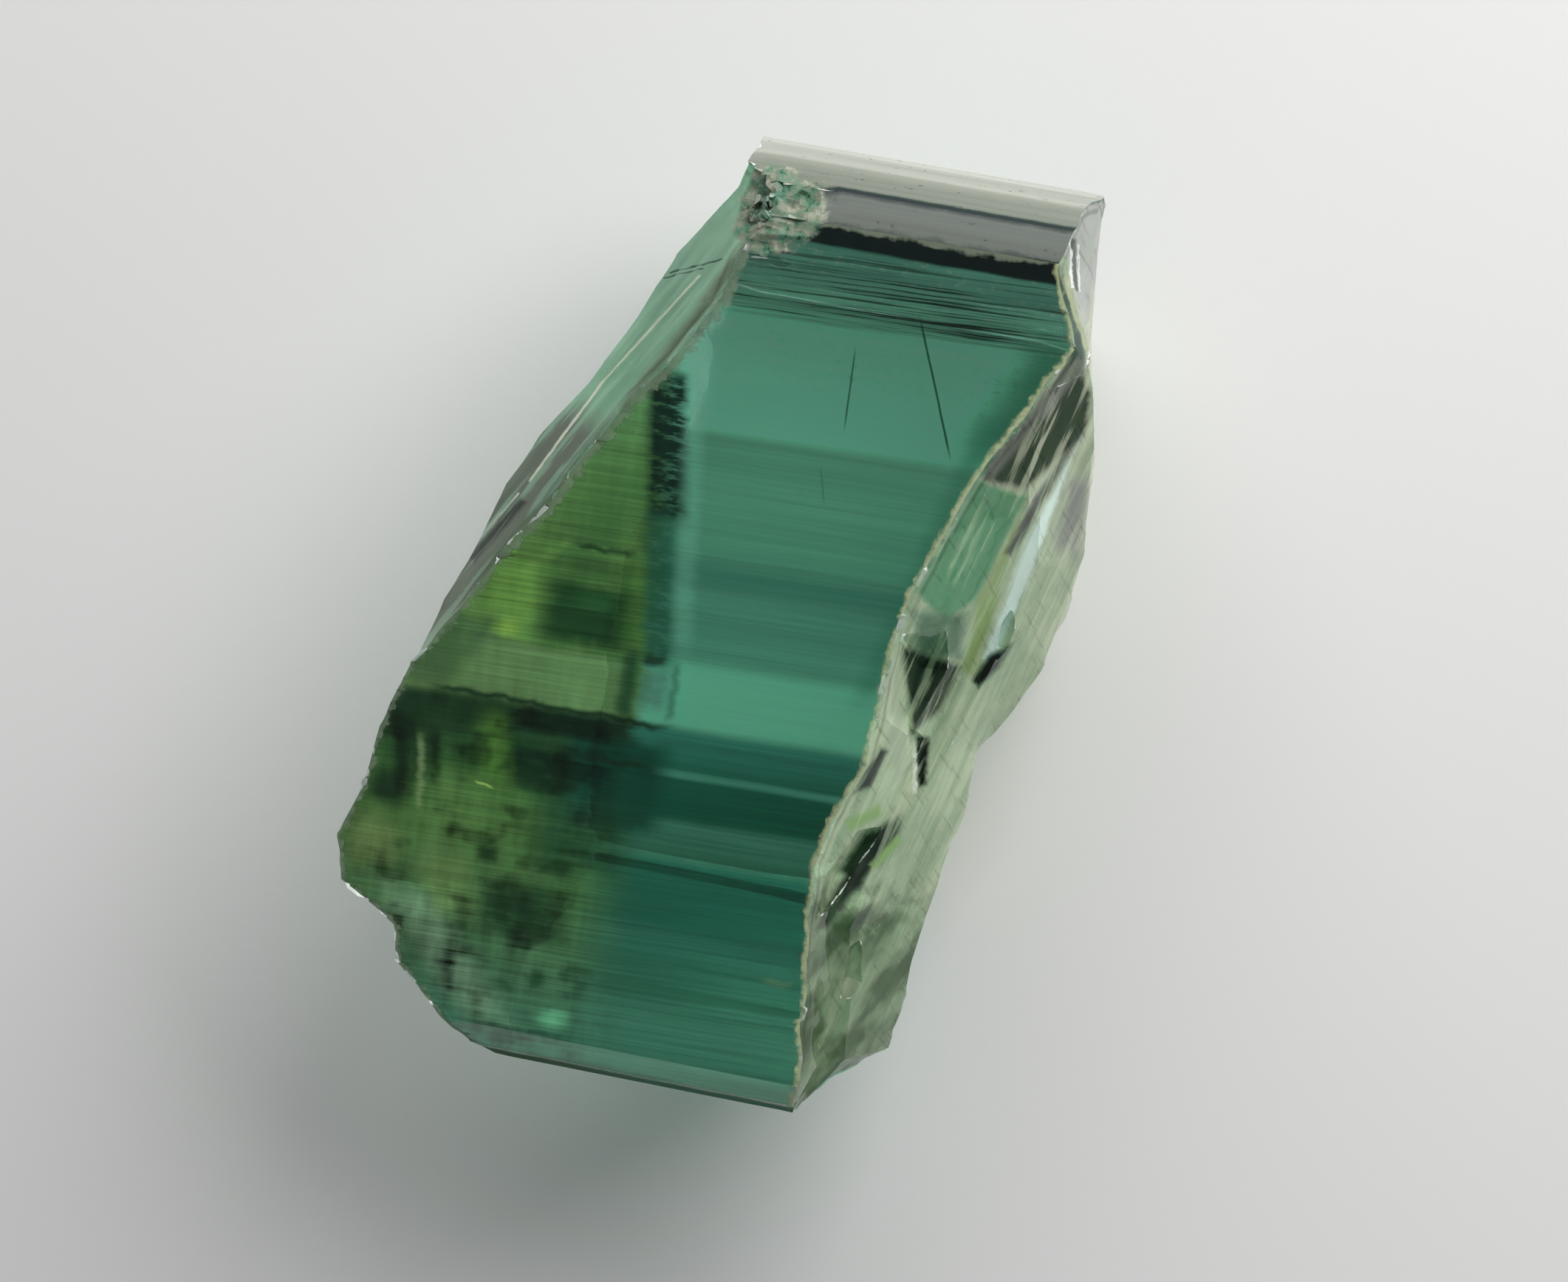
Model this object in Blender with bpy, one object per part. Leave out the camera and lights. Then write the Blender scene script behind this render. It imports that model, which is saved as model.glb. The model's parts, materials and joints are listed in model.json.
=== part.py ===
"""A broken length of tourmaline, one crystal in one piece.

The prism's long axis (the crystal's c axis) runs along X. The prism is rounded and
striated lengthwise, as tourmaline is, and it snapped off across both ends, which leaves
stepped, shell-shaped breaks. It lies on its flat back facet at Z = 0 with the broad
front facet up. The origin is under the middle of its bounding box, on the back facet.
"""

import math
import random

import bmesh
import bpy
from mathutils import Vector, noise

MM = 0.001

# Driving dimensions, in millimetres.
THICKNESS = 6.5  # flat back facet to the crown of the front facet
PRISM_REACH = 7.5  # half the length of the prism before its ends break off
STRIA_PITCH = 0.30  # usual spacing of the lengthwise ridges
STRIA_DEPTH = 0.020  # how far a ridge stands from its facet
BREAK_GRAIN = 0.018  # relief of a smooth broken end
HACKLY_GRAIN = 0.090  # relief of its rough foot
BREAK_SWELL = 0.260  # broad relief of its back half
ROUGH_FROM_Y = -2.5  # the rough foot starts here
SWELL_FROM_DEPTH = 2.8  # and the swelling back half this far below the front facet
CUTTER_WALL = 9.0  # outer X of the blocks that break the ends off
CUTTER_TOP = 1.5  # how far those blocks stand above the front facet
CELLS_PER_PANEL = 3  # each panel of a broken end is split this often each way
FLAKE_SIDES = 16  # corners round a shell-shaped flake
FLAKE_RINGS = 8  # ripples from its middle to its rim
FLAKE_REACH = 1.7  # how far past its radius its cutter goes on
FLAKE_RIPPLE = 0.05  # height of a ripple, as a share of the flake's depth

# Corners of the prism's cross-section (Y, Z), from the back facet up the head side,
# over the front facet and down the foot side. The first and last are the back facet's.
SECTION = [
    (4.63, 0.00),
    (6.85, 3.30),
    (7.10, 4.62),
    (6.94, 5.50),
    (6.62, 6.10),
    (6.14, 6.42),
    (2.40, 6.50),
    (-1.60, 6.50),
    (-4.60, 6.46),
    (-6.62, 6.38),
    (-6.98, 6.14),
    (-7.19, 5.66),
    (-7.26, 4.95),
    (-6.25, 2.70),
    (-4.40, 0.00),
]

# The right break, as stations from head to foot. Each holds points (X, Y, depth below the
# front facet): at the front facet's edge, on the two ridges below it, half way down and
# at the back facet.
RIGHT_BREAK = [
    [(4.00, 8.50, 0.0), (4.10, 8.50, 0.5), (4.25, 8.50, 1.6), (4.10, 8.50, 3.2), (3.40, 8.50, 7.0)],
    [(4.02, 6.04, 0.0), (4.18, 6.05, 0.5), (4.36, 6.05, 1.6), (4.25, 6.10, 3.2), (3.55, 6.10, 7.0)],
    [(4.50, 5.00, 0.0), (4.62, 4.82, 0.5), (4.52, 4.80, 1.5), (4.35, 4.80, 3.2), (3.65, 4.80, 7.0)],
    [(4.10, 4.38, 0.0), (4.74, 4.20, 0.7), (4.72, 4.10, 1.5), (4.50, 4.00, 3.2), (3.80, 4.00, 7.0)],
    [(3.74, 3.60, 0.0), (4.80, 3.62, 0.8), (4.84, 3.40, 1.6), (4.66, 3.20, 3.2), (3.96, 3.20, 7.0)],
    [(3.36, 2.83, 0.0), (4.38, 3.00, 0.9), (4.64, 2.74, 1.6), (4.74, 2.40, 3.2), (4.04, 2.30, 7.0)],
    [(3.00, 1.85, 0.0), (4.05, 2.40, 0.9), (4.42, 2.00, 1.6), (4.80, 1.60, 3.2), (4.10, 1.40, 7.0)],
    [(2.72, 0.98, 0.0), (3.84, 1.66, 0.9), (4.20, 1.28, 1.6), (4.65, 0.75, 3.2), (3.95, 0.60, 7.0)],
    [(2.54, 0.10, 0.0), (3.58, 0.86, 0.9), (4.05, 0.52, 1.7), (4.48, -0.18, 3.2), (3.78, -0.30, 7.0)],
    [(2.50, -0.95, 0.0), (3.30, -0.20, 1.1), (3.76, -0.36, 1.9), (4.14, -0.90, 3.2), (3.44, -1.10, 7.0)],
    [(2.46, -1.64, 0.0), (2.98, -1.36, 1.1), (3.42, -1.44, 1.9), (3.70, -1.68, 3.2), (3.00, -1.90, 7.0)],
    [(2.07, -2.58, 0.0), (2.66, -2.44, 0.9), (2.98, -2.60, 1.7), (3.66, -2.70, 3.2), (2.96, -2.80, 7.0)],
    [(1.92, -3.32, 0.0), (2.34, -3.16, 0.8), (2.60, -3.46, 1.6), (3.42, -3.50, 3.2), (2.72, -3.60, 7.0)],
    [(2.00, -4.30, 0.0), (2.08, -4.06, 0.6), (2.42, -4.40, 1.5), (3.27, -4.40, 3.2), (2.57, -4.40, 7.0)],
    [(2.08, -5.50, 0.0), (2.20, -5.30, 0.5), (2.60, -5.40, 1.5), (3.18, -5.60, 3.2), (2.48, -5.50, 7.0)],
    [(2.20, -6.50, 0.0), (2.30, -6.42, 0.5), (2.66, -6.40, 1.5), (3.10, -6.45, 3.2), (2.40, -6.40, 7.0)],
    [(1.90, -8.50, 0.0), (1.70, -8.50, 0.5), (1.20, -8.50, 1.5), (0.40, -8.50, 3.2), (-0.30, -8.50, 7.0)],
]

# Under its first ridge the right break drops almost straight, then juts out as a ledge.
LEDGE_OUT = 0.25  # how far of the way out to the second ridge the drop ends
LEDGE_DOWN = 0.80  # how far of the way down to it

# The left break, in the same way: at the front facet's edge, at the outer edge of the
# bevelled strip beside it, half way down and at the back facet.
LEFT_BREAK = [
    [(0.10, 8.50, 0.0), (-0.40, 8.50, 0.6), (-0.80, 8.50, 2.6), (-0.50, 8.50, 7.0)],
    [(-0.12, 6.30, 0.0), (-0.96, 6.40, 0.8), (-1.00, 6.50, 2.8), (-0.70, 6.40, 7.0)],
    [(-0.62, 5.36, 0.0), (-1.40, 5.70, 0.8), (-1.36, 5.60, 2.8), (-0.95, 5.60, 7.0)],
    [(-0.73, 4.81, 0.0), (-1.72, 5.26, 0.8), (-1.66, 5.10, 2.9), (-1.15, 5.10, 7.0)],
    [(-1.23, 3.90, 0.0), (-2.16, 4.22, 0.8), (-2.00, 4.10, 3.0), (-1.50, 4.10, 7.0)],
    [(-1.92, 3.05, 0.0), (-2.71, 3.17, 0.8), (-2.45, 3.10, 3.1), (-1.85, 3.10, 7.0)],
    [(-2.50, 2.10, 0.0), (-3.30, 2.30, 0.8), (-2.90, 2.20, 3.2), (-2.10, 2.20, 7.0)],
    [(-2.90, 1.30, 0.0), (-3.72, 1.42, 0.8), (-3.20, 1.30, 3.2), (-2.20, 1.30, 7.0)],
    [(-3.46, 0.55, 0.0), (-4.08, 0.34, 0.8), (-3.40, 0.30, 3.2), (-2.20, 0.30, 7.0)],
    [(-3.90, -0.36, 0.0), (-4.40, -0.46, 0.8), (-3.60, -0.50, 3.2), (-2.20, -0.50, 7.0)],
    [(-4.56, -1.36, 0.0), (-4.62, -1.30, 0.7), (-3.70, -1.30, 3.2), (-2.20, -1.30, 7.0)],
    [(-4.90, -2.40, 0.0), (-4.86, -2.40, 0.6), (-3.75, -2.40, 3.2), (-2.15, -2.30, 7.0)],
    [(-5.04, -3.40, 0.0), (-4.98, -3.40, 0.6), (-3.75, -3.40, 3.2), (-2.15, -3.10, 7.0)],
    [(-5.32, -4.14, 0.0), (-5.24, -4.14, 0.6), (-3.70, -4.20, 3.2), (-2.20, -3.80, 7.0)],
    [(-5.14, -4.84, 0.0), (-5.06, -4.84, 0.6), (-3.60, -4.90, 3.2), (-2.20, -4.40, 7.0)],
    [(-4.28, -5.36, 0.0), (-4.20, -5.40, 0.6), (-3.30, -5.40, 3.2), (-2.10, -4.90, 7.0)],
    [(-4.16, -5.90, 0.0), (-4.06, -5.94, 0.6), (-3.10, -5.90, 3.2), (-2.00, -5.30, 7.0)],
    [(-3.00, -6.90, 0.0), (-2.94, -6.94, 0.6), (-2.30, -6.90, 3.2), (-1.70, -6.30, 7.0)],
    [(-1.20, -8.50, 0.0), (-1.20, -8.50, 0.6), (-1.00, -8.50, 3.2), (-0.80, -8.50, 7.0)],
]

# Shell-shaped flakes struck off the breaks and edges: name, deepest point (X, Y, depth
# below the front facet), outward direction, radius and how deep the shell is.
FLAKES = [
    ("shoulder_flake", (4.50, 1.80, 2.30), (0.93, 0.05, 0.36), 1.90, 0.22),
    ("hip_flake", (3.74, 1.50, 6.90), (0.97, 0.12, -0.15), 2.70, 0.44),
    ("heel_flake", (2.72, -5.60, 4.60), (0.85, -0.42, -0.30), 2.20, 0.34),
    ("head_chip", (-0.48, 6.22, 0.30), (-0.60, 0.20, 0.77), 0.50, 0.20),
    ("crown_chip", (0.06, 6.26, 0.14), (-0.15, 0.45, 0.88), 0.36, 0.12),
    ("flank_flake", (-1.46, 3.30, 6.60), (-0.95, 0.10, -0.25), 2.60, 0.40),
    ("keel_flake", (-2.56, -4.60, 5.00), (-0.88, -0.20, -0.42), 2.40, 0.40),
]

# Angular hollows where splinters fell out of the right break: name and corner points
# (X, Y, depth below the front facet), the last two of them deep inside.
CLEFTS = [
    (
        "notch",
        [
            (2.66, 0.34, 0.10),
            (3.34, 0.74, 0.36),
            (3.86, -0.06, 0.66),
            (3.06, -1.74, 0.34),
            (2.56, -0.90, -0.05),
            (2.86, -0.26, 1.30),
            (2.80, -0.92, 1.05),
        ],
    ),
    (
        "sliver",
        [
            (2.86, -1.04, 0.60),
            (3.40, -1.06, 0.80),
            (3.22, -2.24, 0.90),
            (2.92, -2.30, 0.60),
            (2.96, -1.36, 1.46),
            (2.98, -1.90, 1.40),
        ],
    ),
    (
        "scoop",
        [
            (3.50, -2.36, 0.86),
            (2.38, -2.66, 0.00),
            (2.04, -3.40, -0.10),
            (2.04, -4.40, 0.05),
            (3.10, -3.60, 0.80),
            (2.44, -2.86, 1.60),
            (2.10, -3.60, 1.30),
        ],
    ),
    (
        "ledge_cleft",
        [
            (4.34, 1.30, 1.00),
            (3.94, 0.40, 0.90),
            (3.96, -0.50, 1.50),
            (4.50, 0.20, 1.64),
            (3.84, 0.16, 2.00),
            (3.88, 0.60, 1.84),
        ],
    ),
    (
        "heel_cleft",
        [
            (3.16, -4.10, 1.50),
            (2.50, -4.60, 0.70),
            (2.48, -5.70, 0.90),
            (3.30, -5.30, 1.90),
            (2.44, -4.70, 1.80),
            (2.42, -5.20, 1.86),
        ],
    ),
]


def new_object(name, mesh_source):
    """Makes an object from a bmesh and frees the bmesh."""
    bmesh.ops.recalc_face_normals(mesh_source, faces=mesh_source.faces)
    mesh = bpy.data.meshes.new(name)
    mesh_source.to_mesh(mesh)
    mesh_source.free()
    obj = bpy.data.objects.new(name, mesh)
    bpy.context.scene.collection.objects.link(obj)
    return obj


def striated_outline(corners, seed=7):
    """The cross-section with fine ridges along every facet but the flat back one."""
    rng = random.Random(seed)
    outline = [Vector(corners[0])]
    for start, end in zip(map(Vector, corners), map(Vector, corners[1:])):
        along = end - start
        outward = Vector((along.y, -along.x)).normalized()
        ridges = round(along.length / STRIA_PITCH)
        for i in range(1, ridges):
            share = (i + rng.uniform(-0.3, 0.3)) / ridges
            lift = rng.uniform(-1, 1) * STRIA_DEPTH
            outline.append(start + along * share + outward * lift)
        outline.append(end)
    return outline


def make_prism(name):
    """The whole prism before its ends break off."""
    outline = [point * MM for point in striated_outline(SECTION)]
    bm = bmesh.new()
    near = [bm.verts.new((-PRISM_REACH * MM, p.x, p.y)) for p in outline]
    cap = bm.faces.new(near)
    grown = bmesh.ops.extrude_face_region(bm, geom=[cap])
    far = [v for v in grown["geom"] if isinstance(v, bmesh.types.BMVert)]
    bmesh.ops.translate(bm, verts=far, vec=(2 * PRISM_REACH * MM, 0, 0))
    return new_object(name, bm)


def ramp(value, over):
    """Rises from 0 to 1 as value goes from 0 to over."""
    return max(0.0, min(1.0, value / over))


def break_grain(point, seed):
    """How far the break's relief lifts a point (X, Y, depth): its foot and back are rough."""
    shift = Vector((seed, 0, 0))
    footward = ramp(ROUGH_FROM_Y - point.y, over=2.0)
    backward = ramp(point.z - SWELL_FROM_DEPTH, over=1.5)
    fine = noise.noise(point * 1.6 + shift) * BREAK_GRAIN
    hackly = noise.noise(point * 2.6 - shift) * HACKLY_GRAIN
    swell = noise.noise(point * 0.9 + shift * 2) * BREAK_SWELL
    return fine + footward * hackly + backward * swell


def stepped(stations):
    """The stations with the foot of the drop put in between their first two ridges."""
    with_steps = []
    for edge, ridge, ledge, *rest in stations:
        out = Vector(ridge).lerp(Vector(ledge), LEDGE_OUT)
        down = Vector(ridge).lerp(Vector(ledge), LEDGE_DOWN)
        with_steps.append([edge, ridge, (out.x, down.y, down.z), ledge, *rest])
    return with_steps


def break_surface(stations, seed):
    """Rows of points over a broken end, each panel of its stations split into cells."""
    nets = []
    for station in stations:
        x, y, _ = station[0]
        nets.append([Vector(p) for p in [(x, y, -CUTTER_TOP), *station]])
    rows = []
    for i in range((len(nets) - 1) * CELLS_PER_PANEL + 1):
        band = min(i // CELLS_PER_PANEL, len(nets) - 2)
        down = i / CELLS_PER_PANEL - band
        line = [a.lerp(b, down) for a, b in zip(nets[band], nets[band + 1])]
        row = []
        for j in range((len(line) - 1) * CELLS_PER_PANEL + 1):
            panel = min(j // CELLS_PER_PANEL, len(line) - 2)
            point = line[panel].lerp(line[panel + 1], j / CELLS_PER_PANEL - panel)
            point.x += break_grain(point, seed)
            row.append(Vector((point.x, point.y, THICKNESS - point.z)))
        rows.append(row)
    return rows


def make_break(name, stations, side, seed):
    """The block that breaks off one end. side is 1 on the right and -1 on the left."""
    bm = bmesh.new()
    rows = break_surface(stations, seed)
    wall = side * CUTTER_WALL
    inner = [[bm.verts.new(p * MM) for p in row] for row in rows]
    outer = [[bm.verts.new(Vector((wall, p.y, p.z)) * MM) for p in row] for row in rows]
    last_row, last_column = len(rows) - 1, len(rows[0]) - 1
    for sheet in (inner, outer):
        for i in range(last_row):
            for j in range(last_column):
                a, b = sheet[i][j], sheet[i][j + 1]
                c, d = sheet[i + 1][j + 1], sheet[i + 1][j]
                bm.faces.new((a, b, c))
                bm.faces.new((a, c, d))
    rim = [(i, 0) for i in range(last_row)]
    rim += [(last_row, j) for j in range(last_column)]
    rim += [(i, last_column) for i in range(last_row, 0, -1)]
    rim += [(0, j) for j in range(last_column, 0, -1)]
    for (i, j), (k, m) in zip(rim, rim[1:] + rim[:1]):
        bm.faces.new((inner[i][j], inner[k][m], outer[k][m], outer[i][j]))
    return new_object(name, bm)


def make_flake(name, deepest, outward, radius, depth):
    """A rippled bowl that cuts one shell-shaped hollow, its axis along outward."""
    bm = bmesh.new()
    bottom = bm.verts.new((0, 0, 0))
    hoops = []
    for k in range(1, FLAKE_RINGS + 1):
        share = FLAKE_REACH * k / FLAKE_RINGS
        ripple = FLAKE_RIPPLE * math.cos(math.pi * k) if k > 1 else 0
        height = depth * (share**2 + ripple)
        hoop = []
        for s in range(FLAKE_SIDES):
            turn = 2 * math.pi * (s + 0.5 * (k % 2)) / FLAKE_SIDES
            across = Vector((math.cos(turn), math.sin(turn))) * radius * share
            hoop.append(bm.verts.new((across.x, across.y, height)))
        hoops.append(hoop)
    lid = radius * FLAKE_REACH + depth
    hoops.append([bm.verts.new((v.co.x, v.co.y, lid)) for v in hoops[-1]])
    for s in range(FLAKE_SIDES):
        bm.faces.new((bottom, hoops[0][s], hoops[0][s - 1]))
        for low, high in zip(hoops, hoops[1:]):
            bm.faces.new((low[s - 1], low[s], high[s], high[s - 1]))
    bm.faces.new(hoops[-1])
    axis = Vector(outward).normalized()
    centre = Vector((deepest[0], deepest[1], THICKNESS - deepest[2]))
    turned = Vector((0, 0, 1)).rotation_difference(axis)
    for v in bm.verts:
        v.co = (turned @ v.co + centre) * MM
    bmesh.ops.triangulate(bm, faces=bm.faces)
    return new_object(name, bm)


def make_cleft(name, corners):
    """The flat-sided solid round some corner points, which cuts one angular hollow."""
    bm = bmesh.new()
    for x, y, depth in corners:
        bm.verts.new(Vector((x, y, THICKNESS - depth)) * MM)
    hull = bmesh.ops.convex_hull(bm, input=bm.verts)
    bmesh.ops.delete(bm, geom=hull["geom_interior"], context="VERTS")
    return new_object(name, bm)


def cut(target, cutter):
    """Takes cutter's shape out of target and hides the cutter."""
    modifier = target.modifiers.new(cutter.name, "BOOLEAN")
    modifier.operation = "DIFFERENCE"
    modifier.solver = "EXACT"
    modifier.object = cutter
    cutter.hide_render = True
    cutter.display_type = "WIRE"
    cutter.parent = target


def tourmaline():
    """Clear blue-green tourmaline."""
    material = bpy.data.materials.new("tourmaline")
    material.use_nodes = True
    shader = material.node_tree.nodes["Principled BSDF"]
    shader.inputs["Base Color"].default_value = (0.08, 0.33, 0.22, 1)
    shader.inputs["Metallic"].default_value = 0.0
    shader.inputs["Roughness"].default_value = 0.08
    shader.inputs["IOR"].default_value = 1.63
    shader.inputs["Transmission Weight"].default_value = 0.9
    return material


def stand_on_origin(obj):
    """Moves the crystal so that the middle of its box's underside is the origin."""
    bpy.context.view_layer.update()
    graph = bpy.context.evaluated_depsgraph_get()
    corners = [Vector(c) for c in obj.evaluated_get(graph).bound_box]
    low = Vector(map(min, *corners))
    high = Vector(map(max, *corners))
    obj.location = (-(low.x + high.x) / 2, -(low.y + high.y) / 2, -low.z)


def main():
    """Builds the crystal."""
    for obj in list(bpy.data.objects):
        bpy.data.objects.remove(obj)
    crystal = make_prism("tourmaline_crystal")
    cut(crystal, make_break("right_break", stepped(RIGHT_BREAK), 1, seed=3))
    cut(crystal, make_break("left_break", LEFT_BREAK, -1, seed=11))
    for flake in FLAKES:
        cut(crystal, make_flake(*flake))
    for cleft in CLEFTS:
        cut(crystal, make_cleft(*cleft))
    crystal.data.materials.append(tourmaline())
    stand_on_origin(crystal)


main()
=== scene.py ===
"""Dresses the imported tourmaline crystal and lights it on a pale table.

The crystal is one clear, striated prism with two broken ends. Sizes and places in the classes below are in
millimetres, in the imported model's own frame, and are turned into metres where Blender is given them.
"""

import json
import logging
import math
from dataclasses import dataclass
from enum import Enum
from typing import TypeAlias

import bpy
from mathutils import Matrix, Vector
from mathutils.kdtree import KDTree

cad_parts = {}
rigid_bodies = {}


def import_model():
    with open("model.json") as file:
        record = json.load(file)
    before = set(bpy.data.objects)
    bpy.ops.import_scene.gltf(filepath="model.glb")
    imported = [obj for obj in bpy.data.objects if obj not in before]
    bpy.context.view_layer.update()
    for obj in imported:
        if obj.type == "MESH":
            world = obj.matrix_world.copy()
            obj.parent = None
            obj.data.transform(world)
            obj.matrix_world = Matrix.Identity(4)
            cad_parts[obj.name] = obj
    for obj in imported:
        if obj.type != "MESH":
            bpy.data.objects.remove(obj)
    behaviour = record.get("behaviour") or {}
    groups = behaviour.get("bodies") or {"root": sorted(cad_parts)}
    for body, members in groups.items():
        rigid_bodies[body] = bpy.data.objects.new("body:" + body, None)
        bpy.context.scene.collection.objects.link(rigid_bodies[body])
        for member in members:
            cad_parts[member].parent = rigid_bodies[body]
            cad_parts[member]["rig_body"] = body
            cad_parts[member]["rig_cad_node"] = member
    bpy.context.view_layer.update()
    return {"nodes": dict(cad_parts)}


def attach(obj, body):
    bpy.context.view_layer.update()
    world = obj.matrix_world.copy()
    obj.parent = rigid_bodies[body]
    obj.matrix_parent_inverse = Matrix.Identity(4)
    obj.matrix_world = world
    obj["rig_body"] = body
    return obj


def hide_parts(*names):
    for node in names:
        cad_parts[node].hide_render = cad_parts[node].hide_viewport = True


LOG = logging.getLogger("crystal")
MM = 0.001
EDGE = "near_rim"
CRUMBLED = "crumbled"

NEEDLE = 0.03

Colour = tuple[float, float, float]
Shown = tuple[int, int, int]
Place = tuple[float, float, float]
Corner = tuple[float, float]
Bands = tuple[tuple[float, Colour], ...]
Socket = bpy.types.NodeSocket
Tint = Socket | Colour
Number: TypeAlias = "Value | float"


def linear(red: int, green: int, blue: int) -> Colour:
    """Turns a colour as a screen shows it, 0 to 255, into the light that it stands for, 0 to 1.

    Args:
        red: how red it looks.
        green: how green it looks.
        blue: how blue it looks.

    Returns:
        The three amounts of light.
    """
    shown = (red / 255, green / 255, blue / 255)
    made = [c / 12.92 if c <= 0.04045 else ((c + 0.055) / 1.055) ** 2.4 for c in shown]
    return made[0], made[1], made[2]


def as_light(*bands: tuple[float, Shown]) -> Bands:
    """Turns bands whose colours are as a screen shows them into bands of light."""
    return tuple((place, linear(*shown)) for place, shown in bands)


@dataclass(frozen=True)
class Grain:
    """A random pattern: its lumps to the millimetre each way, where it starts, and how fine it goes."""

    lumps: Place
    start: float = 0.0
    detail: float = 2.0
    rough: float = 0.5


class Pattern(Enum):
    """The random patterns of the finish, each by what it is for."""

    BREAK_GRAIN = Grain((2.0, 2.4, 2.4), 0.0, 4.0, 0.65)
    BREAK_STREAK = Grain((6.0, 0.40, 0.0), 3.0, 3.0, 0.6)
    BREAK_SCRATCH = Grain((9.0, 1.2, 0.0), 6.0, 2.0, 0.6)
    BREAK_RAGGED = Grain((5.0, 5.0, 5.0), 0.0, 3.0, 0.6)
    BREAK_MOTTLE = Grain((2.2, 1.1, 0.0), 5.0)
    SILL = Grain((1.4, 8.0, 4.0), 0.0, 3.0, 0.6)
    CRUMB_LUMPS = Grain((5.0, 5.0, 5.0), 0.0, 4.0, 0.7)
    CRUMB_SPREAD = Grain((2.5, 2.5, 2.5), 5.0)
    HEAD_LINES = Grain((0.12, 9.0, 0.0), 2.0, 2.0, 0.6)
    HEAD_BROAD = Grain((0.08, 2.4, 0.0), 8.0)
    HEAD_RAGGED = Grain((3.0, 3.0, 3.0), 0.0, 4.0, 0.65)
    HEAD_SPECKS = Grain((7.0, 10.0, 10.0), 0.0, 2.0, 0.6)
    RIM = Grain((6.0, 6.0, 0.0), 0.0, 3.0, 0.65)
    RAGGED = Grain((1.3, 6.0, 0.0), 0.0, 3.0, 0.6)
    SWAY = Grain((0.35, 1.2, 0.0))
    BLOCKS = Grain((0.9, 5.0, 0.0), 3.0, 3.0, 0.7)
    SHAKEN = Grain((2.6, 1.2, 0.0), 7.0)
    LADDER = Grain((2.2, 9.0, 0.0), 2.0, 3.0, 0.7)
    SPECKS = Grain((6.0, 9.0, 0.0), 4.0, 3.0, 0.7)
    DUST = Grain((8.0, 11.0, 0.0), 6.0, 4.0, 0.7)
    SCALLOPS = Grain((1.8, 0.0, 0.0), 4.0, 3.0, 0.7)
    FINE = Grain((0.24, 20.0, 0.0), 1.0, 3.0, 0.65)
    BROAD = Grain((0.10, 3.4, 0.0), 5.0)
    WEAVE = Grain((3.2, 0.6, 0.0), 9.0, 3.0, 0.6)
    BLOTS = Grain((1.5, 1.9, 0.0), 4.0)


class Value:
    """A number that changes over a surface. Sums on it add the nodes that work them out."""

    def __init__(self, recipe: "Recipe", socket: Socket) -> None:
        """Keeps the socket, and the recipe that further nodes go into."""
        self.recipe = recipe
        self.socket = socket

    def maths(self, operation: str, first: Number, second: Number = 0.0) -> "Value":
        """Adds one Math node.

        Args:
            operation: what the node does.
            first: its first number.
            second: its second number, where it takes one.

        Returns:
            The result.
        """
        made = self.recipe.node("ShaderNodeMath", {"operation": operation}, {0: first, 1: second})
        return Value(self.recipe, made.outputs[0])

    def __add__(self, other: Number) -> "Value":
        """Adds another number."""
        return self.maths("ADD", self, other)

    def __radd__(self, other: float) -> "Value":
        """Adds this to a plain number."""
        return self.maths("ADD", other, self)

    def __sub__(self, other: Number) -> "Value":
        """Takes another number away."""
        return self.maths("SUBTRACT", self, other)

    def __rsub__(self, other: float) -> "Value":
        """Takes this away from a plain number."""
        return self.maths("SUBTRACT", other, self)

    def __mul__(self, other: Number) -> "Value":
        """Multiplies by another number."""
        return self.maths("MULTIPLY", self, other)

    def __rmul__(self, other: float) -> "Value":
        """Multiplies a plain number by this."""
        return self.maths("MULTIPLY", other, self)

    def __abs__(self) -> "Value":
        """Leaves out the sign."""
        return self.maths("ABSOLUTE", self)

    def least(self, other: Number) -> "Value":
        """The smaller of the two."""
        return self.maths("MINIMUM", self, other)

    def most(self, other: Number) -> "Value":
        """The larger of the two."""
        return self.maths("MAXIMUM", self, other)


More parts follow.
